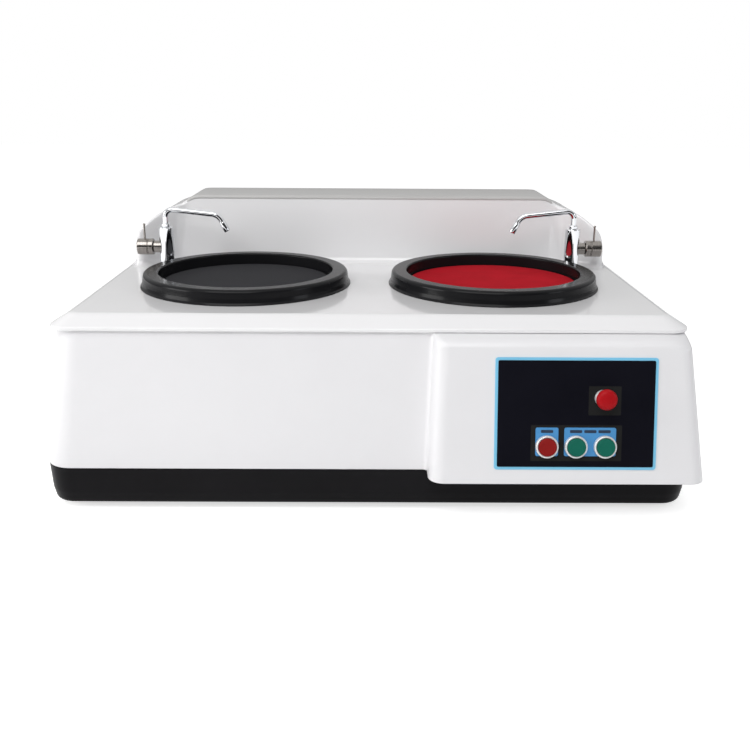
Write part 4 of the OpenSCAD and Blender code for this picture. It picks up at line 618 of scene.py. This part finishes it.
class LAPPER_OT_cover(LapperOperator, bpy.types.Operator):
    """Top cover: bevelled deck with two ring holes, and the backsplash with its ledge and wings"""
    bl_idname = "lapper.cover"
    bl_label = "Top cover"

    def execute(self, context):
        shape = Shape()
        self.deck(shape)
        shape.grid(self.crest(), cap_first=True, cap_last=True)
        shape.build("cover_skin", "machine", FINISH["shell_white"], ["top_cover"],
                    fill_heights=(Z_DECK, Z_DECK - WALL))
        self.ledge_strip()
        return {"FINISHED"}

    def deck(self, shape):
        """The slab's rounded profile, carried round a rounded rectangle drawn in by its inset."""
        corners = [(21, Z_DECK - WALL), (7.5, Z_UNDER), (0, Z_UNDER), (0, Z_LIP), (19, Z_DECK), (32, Z_DECK)]
        path = rounded(corners, [1, 0.8, 0.8, 2.2, self.sizes.deck_round, 1], 8, closed=False)
        path = np.vstack([[24, Z_DECK - WALL], path])
        shape.grid(level_rings(path[:, 0], path[:, 1], COVER_HALF, 0.0, COVER_D, 22 - path[:, 0] / 2, 14))
        edge = np.array([(1.2, 0), (0.5, 0), (0.1, -0.2), (0, -0.6), (0, -WALL), (1.2, -WALL)])
        edge += [HOLE_R, Z_DECK]
        for side in (-1, 1):
            shape.grid(turned(edge, 128, (side * SPINDLE_X, SPINDLE_Y, 0)))

    def crest(self):
        """One closed section for each station: a hollow round up from the deck, the leaning face,
        the crown's round, the flat ledge, its back round and the back wall."""
        line = crest_line()
        x, h = line[:, :1], line[:, 1:]
        ring = SPINDLE_Y + np.sqrt(np.maximum(RING_R ** 2 - (np.abs(x) - SPINDLE_X) ** 2, 0))
        room = np.minimum(face_line(x, 0 * h) - ring - 0.8, self.sizes.foot_fillet)
        f = np.clip(np.minimum(h / 3, room), 0.6, None)
        r = np.clip(h / 3, 0.6, self.sizes.crest_round)
        b = np.minimum(r, 4.0)
        base = Z_DECK - 0.015 + np.minimum(h - 2.0, 0)
        top = Z_DECK + h
        a = np.radians(np.linspace(0, 90, 9))[None]
        rise = np.linspace(0, 1, 10)[None, 1:-1]
        hollow_z = base + f * (1 - np.cos(a))
        hollow_y = face_line(x, hollow_z - Z_DECK) - f * (1 - np.sin(a))
        wall_z = base + f + (top - r - base - f) * rise
        wall_y = face_line(x, wall_z - Z_DECK)
        crown = face_line(x, h)
        crown_z, crown_y = top - r + r * np.sin(a), crown + r * (1 - np.cos(a))
        back_z, back_y = top - b + b * np.cos(a), LEDGE_BACK_Y - b + b * np.sin(a)
        one = np.ones_like(x)
        y = np.hstack([one * LEDGE_BACK_Y + 9, one * LEDGE_BACK_Y - 1, hollow_y[:, :1] - 0.5 * one, hollow_y,
                       wall_y, crown_y, crown + r + 0.5, LEDGE_BACK_Y - b - 0.5, back_y])
        z = np.hstack([one * 203.2, one * 211.5, base - 2.5, hollow_z, wall_z, crown_z, top, top, back_z])
        return np.stack([np.repeat(x, y.shape[1], 1), y, z], -1)

    def ledge_strip(self):
        """A thin band on the ledge, which follows its top and wraps the round along its front."""
        line = crest_line(lowest=0.93 * LEDGE_H)
        x, top = line[:, :1], Z_DECK + line[:, 1:]
        r, back = self.sizes.crest_round, LEDGE_BACK_Y - 4.5
        wrap = np.radians(np.linspace(90, 12, 9))
        over = r + np.array([1.2] * 7 + [1.0, 0.5])
        front = SPLASH_Y + SPLASH_LEAN + r
        y = np.concatenate([front - over * np.cos(wrap), (front - (r - 0.3) * np.cos(wrap))[::-1],
                            [back, back, back - 0.15, back - 0.45]])
        z = np.concatenate([over * np.sin(wrap) - r, ((r - 0.3) * np.sin(wrap) - r)[::-1],
                            [-0.3, 0.9, 1.12, 1.2]])
        y, z = np.repeat(y[None], len(x), 0), top + z
        grid = np.stack([np.repeat(x, y.shape[1], 1), y, z], -1)
        Shape().grid(grid, cap_first=True, cap_last=True).build(
            "ledge_band", "machine", FINISH["strip_grey"], ["ledge_strip"], sharp=50)


class LAPPER_OT_body(LapperOperator, bpy.types.Operator):
    """Body with the control housing, and the base tray"""
    bl_idname = "lapper.body"
    bl_label = "Body and base tray"

    def execute(self, context):
        shape = Shape()
        outer, inner = self.levels(0.0), self.levels(WALL)
        window = lambda p: ((np.abs(p[:, 0]) < WINDOW_X) & (p[:, 1] > BACK_Y - 2 * WALL)
                            & (p[:, 2] > Z_WINDOW_LOW) & (p[:, 2] < Z_WINDOW_HIGH))
        shape.grid(outer, skip=window)
        shape.grid(inner, skip=window)
        for row in (0, -1):
            shape.grid(np.stack([outer[row], inner[row]]))
        shape.grid(np.stack([shell[[3, 3, 4, 4], [-2, -1, -1, -2]] for shell in (outer, inner)]))
        shape.build("body_skin", "machine", FINISH["body_white"], ["lower_body"])
        self.tray()
        return {"FINISHED"}

    def levels(self, inset):
        """The body's outline at each height. Both shells lean in from foot to lip; the housing's
        front follows its slope, then a soft shoulder runs back to the body below the lip."""
        u = np.radians(np.linspace(0, 90, 12))
        shoulder_z = HOUSE_TOP_Z - 5 + 12.6 * np.sin(u)
        z = np.concatenate([[Z_TRAY, Z_TRAY + 0.5, Z_TRAY + 1.2, Z_WINDOW_LOW, Z_WINDOW_HIGH],
                            [HOUSE_TOP_Z - 6], shoulder_z, [Z_UNDER]])
        share = (z - Z_TRAY) / (Z_UNDER - Z_TRAY)
        half = BODY_HALF - BODY_LEAN * share - inset
        front = FRONT_FOOT_Y + BODY_LEAN * share + inset
        slope = math.tan(FACE_TILT)
        start = HOUSE_FOOT_Y + slope * (HOUSE_TOP_Z - 5 - Z_TRAY)
        house = HOUSE_FOOT_Y + slope * (z - Z_TRAY)
        swing = 1 - np.cos(u)
        house[6:18] = start + (3.1 - start) * swing
        house[18] = 3.4
        house = np.minimum(house + inset, front - 0.3)
        left = HOUSE_X + 5 * share + inset
        foot = np.where(np.arange(len(z)) == 0, 0.6, np.where(np.arange(len(z)) == 1, 0.15, 0.0))
        back = np.full_like(z, BACK_Y - inset)
        one = np.ones_like(z)
        corners = [(-half + foot, back), (-half + foot, front + foot), (left + foot, front + foot),
                   (left + foot, house + foot), (half - foot, house + foot), (half - foot, back)]
        points = np.stack([np.stack(q, -1) for q in corners], 1)
        reach = front - house
        turn = np.clip((z - HOUSE_TOP_Z + 5) / 12, 0, 1)
        corner = one * (BODY_CORNER - inset)
        radii = np.stack([corner, corner, np.minimum(5.0, reach * 0.22),
                          np.minimum(16.0 - inset / 2, reach * 0.72), 14 + 16 * turn - inset / 2, corner], 1)
        window = np.stack([np.stack([side * one * WINDOW_X, back], -1) for side in (1, -1)], 1)
        flat = np.concatenate([rounded(points, radii, 10, hold=0.2), window], 1)
        return np.concatenate([flat, np.repeat(z[:, None, None], flat.shape[1], 1)], -1)

    def tray(self):
        """The tray's profile from its inner floor over the rim and down to the rounded foot."""
        corners = [(13, Z_FLOOR), (WALL + 5, Z_FLOOR), (WALL, Z_TRAY), (0.4, Z_TRAY), (2.0, 22),
                   (5.0, Z_BASE), (30, Z_BASE)]
        path = rounded(corners, [1, 3, 0.8, 1.2, 20, self.sizes.tray_round, 1], 8, closed=False)
        rings = level_rings(path[:, 0], path[:, 1], BODY_HALF, FRONT_FOOT_Y, BACK_Y,
                            np.maximum(BODY_CORNER - path[:, 0], 6), 12)
        Shape().grid(rings, cap_first=True, cap_last=True).build(
            "tray_skin", "machine", FINISH["tray_black"], ["base_tray"])


class LAPPER_OT_rings(LapperOperator, bpy.types.Operator):
    """Both splash rings"""
    bl_idname = "lapper.rings"
    bl_label = "Splash rings"

    def execute(self, context):
        corners = [(104.2, -4), (104.2, 16.8), (122.3, 16.8), (123.3, 6.5), (124.5, 2.6), (RING_R, 0.8),
                   (RING_R, 0), (120.4, 0), (119.6, 3), (119.2, 13.4), (107.2, 13.4), (107.2, -4)]
        radii = [0.5, 2.0, self.sizes.ring_round, 6.0, 3.0, 0.3, 0.2, 0.3, 0.4, 2, 0.6, 0.5]
        path = rounded(corners, radii, 8, hold=0.15)
        for side, name in ((-1, "left"), (1, "right")):
            grid = turned(path, self.sizes.turn_steps, (side * SPINDLE_X, SPINDLE_Y, Z_DECK))
            Shape().grid(grid, closed=True).build(
                name + "_ring_skin", name + "_ring", FINISH["ring_black"], [name + "_splash_ring"])
        return {"FINISHED"}


class LAPPER_OT_discs(LapperOperator, bpy.types.Operator):
    """Abrasive disc and polishing cloth"""
    bl_idname = "lapper.discs"
    bl_label = "Discs"

    def execute(self, context):
        self.disc("abrasive_face", -1, "left_disc", "abrasive_disc", "abrasive_grey", 0.25)
        self.disc("cloth_face", 1, "right_disc", "polishing_cloth", "cloth_red", 0.55)
        return {"FINISHED"}

    def disc(self, name, side, body, node, slot, edge):
        """A thin disc with a rounded upper edge; rings of faces run out from the middle."""
        arc = np.radians(np.linspace(0, 90, 7))
        rim = np.stack([DISC_R - edge + edge * np.sin(arc), -edge + edge * np.cos(arc)], 1)
        inner = np.stack([np.array([0, 12, 40, 70, 95, 100.0]), np.zeros(6)], 1)
        path = np.vstack([inner, rim, [[r, -DISC_T] for r in (DISC_R, 100, 50, 0)]])
        shape = Shape().grid(turned(path, self.sizes.turn_steps, (side * SPINDLE_X, SPINDLE_Y, Z_DISC)))
        shape.build(name, body, FINISH[slot], [node])


class LAPPER_OT_taps(LapperOperator, bpy.types.Operator):
    """Both water taps: body, swivelling spout, knob and pin lever"""
    bl_idname = "lapper.taps"
    bl_label = "Water taps"

    def execute(self, context):
        for side, name in ((-1, "left"), (1, "right")):
            self.column(side, name)
            self.spout(side, name)
            self.knob(side, name)
        return {"FINISHED"}

    def column(self, side, name):
        """A turned column with a flange and shank, and a turned branch out to the knob."""
        post = [(0, -30), (5.1, -30), (6, -29), (6, 0), (11, 0), (11, 2.6), (9.4, 3.2), (9.4, 55), (3.7, 55),
                (3.7, 50), (0, 50)]
        radii = [0.1, 0.1, 0.3, 0.1, 0.25, 0.7, 0.6, 1.3, 0.3, 0.1, 0.1]
        post = rounded(post, radii, 5, False, 0.12)
        arm = [(0, 3), (7.5, 3), (7.5, 16.4), (4.2, 16.4), (4.2, 10), (0, 10)]
        arm = rounded(arm, [0.1, 0.1, 0.6, 0.2, 0.1, 0.1], 5, False, 0.12)
        Shape().grid(turned(post, 64, (TAP_X, TAP_Y, Z_DECK))).build(
            name + "_tap_column", "machine", FINISH["chrome_bright"], [name + "_tap_body"], side=side)
        Shape().grid(turned(arm, 48, (TAP_X, TAP_Y, BRANCH_Z), "x")).build(
            name + "_tap_branch", "machine", FINISH["knob_steel"], side=side, slot="knob_steel")

    def spout(self, side, name):
        """A tube up, over a bend, along the arm, down a second bend to a thicker bored tip."""
        slope, drop, bend, wide = math.radians(96), math.radians(62 - 6), 9.0, 15.0
        short = (wide - bend) * math.tan(drop / 2)
        reach, bends, tip_run = 80, 2 * bend, 1.5 * 12.6 * math.cos(math.radians(62))
        arm = reach - bends - tip_run - short
        t = np.linspace(0, 1, 21)[:, None]
        a = t * slope
        path = [np.array([[0, 0, -6.0], [0, 0, 0.0], [0, 0, 11.5]])]
        path.append(np.hstack([bend * (1 - np.cos(a)), 0 * a, 12.5 + bend * np.sin(a)]))
        head = np.array([math.sin(slope), 0, math.cos(slope)])
        path.append(path[-1][-1] + head * np.array([[1.0], [arm / 2], [arm - 1]]))
        start = path[-1][-1] + head
        down = slope + t * drop
        turn = np.hstack([np.cos(slope) - np.cos(down), 0 * down, np.sin(down) - np.sin(slope)]) * wide
        path.append(start + turn)
        head = np.array([math.sin(slope + drop), 0, math.cos(slope + drop)])
        end = path[-1][-1]
        tip = np.array([4.0, 5.9, 6.0, 6.3, 6.8, 17.6, 18.3, 18.8, 18.9, 18.5, 12.6, 12.5]) - short
        path.append(end + head * tip[:, None])
        radii = np.concatenate([np.full(sum(len(q) for q in path[:-1]), SPOUT_R),
                                [3.5, 3.5, 3.55, 3.9, 4.1, 4.1, 3.98, 3.7, 3.3, 3.2, 3.2, 0.0]])
        centre = np.vstack(path)
        grid = swept(centre, radii, 40)
        last = len(centre) - len(tip)
        side_way, up_way = np.array([0.0, 1.0, 0.0]), np.cross(head, [0.0, 1.0, 0.0])
        angle = np.linspace(0, 2 * np.pi, 40, endpoint=False)[None, :, None]
        across, along = np.cos(angle) * side_way, np.sin(angle)
        grid[last:] = centre[last:, None] + radii[last:, None, None] * (across + along * up_way)
        grid[0] = centre[0] + SPOUT_R * (across[0] + along[0] * np.array([-1.0, 0, 0]))
        grid = np.vstack([np.repeat(centre[None, :1], 40, 1), grid])
        shape = Shape().grid(grid * [-1, 1, 1] + [TAP_X, TAP_Y, TAP_TOP])
        collar = np.array([(3.4, 0.3), (5.5, 0.3), (5.5, 4.3), (3.4, 4.3)])
        collar = rounded(collar, [0.1, 0.4, 0.9, 0.1], 5, True, 0.1)
        shape.grid(turned(collar, 48, (TAP_X, TAP_Y, TAP_TOP)), closed=True)
        shape.build(name + "_spout_tube", name + "_spout", FINISH["chrome_bright"], [name + "_tap_spout"],
                    side=side)

    def knob(self, side, name):
        """A turned knob with two grooves and a stem, and a slim pin with a round end."""
        grip = [(0, 7.8), (3.9, 7.8), (3.9, BRANCH_L), (10.3, BRANCH_L), (10.3, 22.6), (9.8, 22.9),
                (9.8, 23.2), (10.3, 23.5), (10.3, 24.0), (9.8, 24.3), (9.8, 24.6), (10.3, 24.9), (10.3, 37.3),
                (0, 37.3)]
        radii = [0.1] * 3 + [0.9] + [0.1] * 8 + [1.1, 0.1]
        grip = rounded(grip, radii, 4, False, 0.05)
        pin = np.array([(0, 0), (1.35, 0), (1.35, 21.5), (1.6, 22.2), (1.75, 23.0), (1.6, 23.9), (1.1, 24.5),
                        (0, 24.8)])
        x, y, z = np.moveaxis(turned(pin, 24), -1, 0)
        c, s = math.cos(math.radians(4)), math.sin(math.radians(4))
        leaning = np.stack([x, y * c + z * s, z * c - y * s], -1)
        Shape().grid(turned(grip, 64, (TAP_X, TAP_Y, BRANCH_Z), "x")).build(
            name + "_knob_grip", name + "_knob", FINISH["knob_steel"], [name + "_tap_knob"], side=side)
        Shape().grid(leaning + [TAP_X + BRANCH_L + 11.5, TAP_Y, BRANCH_Z + 5]).build(
            name + "_knob_pin", name + "_knob", FINISH["knob_steel"], [name + "_tap_lever"], side=side)


class LAPPER_OT_panel(LapperOperator, bpy.types.Operator):
    """Button bezels, caps, the emergency mushroom and the fields of the panel"""
    bl_idname = "lapper.panel"
    bl_label = "Control panel"

    def execute(self, context):
        base = FACE_T + LEGEND_T
        rim = [(5.6, -9), (7.8, -9), (7.8, 0.5), (11.7, 0.0), (11.7, 4.0), (10.9, 5.2), (9.6, 5.2),
               (9.55, 1.0), (5.6, 1.0)]
        rim = rounded(rim, [0.1, 0.1, 0.1, 0.3, 0.9, 0.8, 0.5, 0.1, 0.1], 5, True, 0.08)
        shape = Shape()
        for x in BUTTON_X:
            shape.grid(face_turned(rim, 64, x, BUTTON_S, base), closed=True)
        collar = [(5.6, -9), (7.8, -9), (7.8, 0.0), (8.5, 0.0), (8.5, 5.0), (5.6, 5.0)]
        collar = rounded(collar, [0.1, 0.1, 0.1, 0.2, 0.8, 0.4], 5, True, 0.08)
        shape.grid(face_turned(collar, 64, STOP_X, STOP_S, FACE_T), closed=True)
        shape.build("bezel_rings", "machine", FINISH["bezel_silver"], ["button_bezels"])
        for x, name, slot in zip(BUTTON_X, ("stop", "low_speed", "high_speed"),
                                 ("cap_red", "cap_green", "cap_green")):
            self.cap(x, base, name, name.split("_")[0] + "_key", slot)
        self.mushroom()
        self.fields()
        return {"FINISHED"}

    def cap(self, x, base, name, body, slot):
        """A cap with a rounded edge and a faintly dished face. Its stem's end stays clear of the
        panel when the cap is pressed."""
        end = 4.7 - base
        path = [(0, 7.25), (6.5, 7.35), (9.3, 7.6), (9.3, 4.3), (5.3, 4.3), (5.3, end), (0, end)]
        path = rounded(path, [0.1, 9, 1.1, 0.3, 0.1, 0.2, 0.1], 6, False, 0.08)
        Shape().grid(face_turned(path, 64, x, BUTTON_S, base)).build(
            name + "_cap", body, FINISH[slot], [name + "_button"])

    def mushroom(self):
        """A domed head that swells over its rim, on a round stem whose end clears the panel when pressed."""
        out, end = FACE_T + 21.0, 6.55
        t = np.radians(np.linspace(0, 90, 13))
        dome = np.stack([9.2 * np.sin(t), out - 2.2 + 2.2 * np.cos(t)], 1)
        rest = np.array([(9.9, out - 2.75), (10.4, out - 3.6), (10.6, out - 4.8), (10.6, out - 6.6),
                         (10.3, out - 7.5), (9.6, out - 8.0), (5.3, out - 8.0), (5.3, end), (0, end)])
        Shape().grid(face_turned(np.vstack([dome, rest]), 72, STOP_X, STOP_S)).build(
            "emergency_head", "emergency_key", FINISH["cap_scarlet"], ["emergency_stop_button"], sharp=50)

    def fields(self):
        """Thin printed fields: grey ones behind the buttons, dark ones on the legend plates."""
        grey, navy, label = Shape(), Shape(), FACE_T + LEGEND_T
        for x, s, w, h in ((213.2, 43.4, 93.6, 37.2), (241.8, 87.3, 33.4, 30.0)):
            plate = face_plate(x, s, w, h, 1.0, FACE_T - PRINT_T, FACE_T + PRINT_T, 0.05)
            grey.grid(plate, cap_last=True, cap_first=True)
        grey.build("button_fields", "machine", FINISH["field_grey"], slot="sheet_black")
        for x in (182.9, 212.7, 227.4, 242.0):
            plate = face_plate(x, 55.6, 12.6, 3.1, 1.0, label - PRINT_T, label + PRINT_T + 0.02, 0.05)
            navy.grid(plate, cap_last=True, cap_first=True)
        navy.build("legend_fields", "machine", FINISH["field_navy"], slot="legend_blue")


class LAPPER_OT_finishes(LapperOperator, bpy.types.Operator):
    """Gives each carried-over piece the finish of its slot"""
    bl_idname = "lapper.finishes"
    bl_label = "Finishes of the carried-over pieces"

    def execute(self, context):
        for node, slot in SLOTS.items():
            piece = frame["nodes"][node]
            piece.data.materials.clear()
            piece.data.materials.append(FINISH["body_white" if node == "lower_body" else slot])
        return {"FINISHED"}


class LAPPER_PT_panel(bpy.types.Panel):
    """Sizes, colours and steps of the machine"""
    bl_label = "Lapping machine"
    bl_idname = "LAPPER_PT_panel"
    bl_space_type = "VIEW_3D"
    bl_region_type = "UI"
    bl_category = "Lapping machine"

    def draw(self, context):
        for group in (context.scene.lapper_sizes, context.scene.lapper_colours):
            box = self.layout.box()
            for name in group.bl_rna.properties.keys():
                if name not in ("rna_type", "name"):
                    box.prop(group, name)
        for step in STEPS:
            self.layout.operator(step.bl_idname)


STEPS = (LAPPER_OT_stage, LAPPER_OT_finishes, LAPPER_OT_cover, LAPPER_OT_body, LAPPER_OT_rings,
         LAPPER_OT_discs, LAPPER_OT_taps, LAPPER_OT_panel)
CLASSES = (LapperSizes, LapperColours, *STEPS, LAPPER_PT_panel)
FINISH = {}


def register():
    for kind in CLASSES:
        bpy.utils.register_class(kind)
    bpy.types.Scene.lapper_sizes = PointerProperty(type=LapperSizes)
    bpy.types.Scene.lapper_colours = PointerProperty(type=LapperColours)


def unregister():
    del bpy.types.Scene.lapper_colours
    del bpy.types.Scene.lapper_sizes
    for kind in reversed(CLASSES):
        bpy.utils.unregister_class(kind)


def main():
    register()
    FINISH.update(finishes())
    bpy.ops.lapper.stage()
    bpy.ops.lapper.finishes()
    bpy.ops.lapper.cover()
    bpy.ops.lapper.body()
    bpy.ops.lapper.rings()
    bpy.ops.lapper.discs()
    bpy.ops.lapper.taps()
    bpy.ops.lapper.panel()


if __name__ == "__main__":
    main()
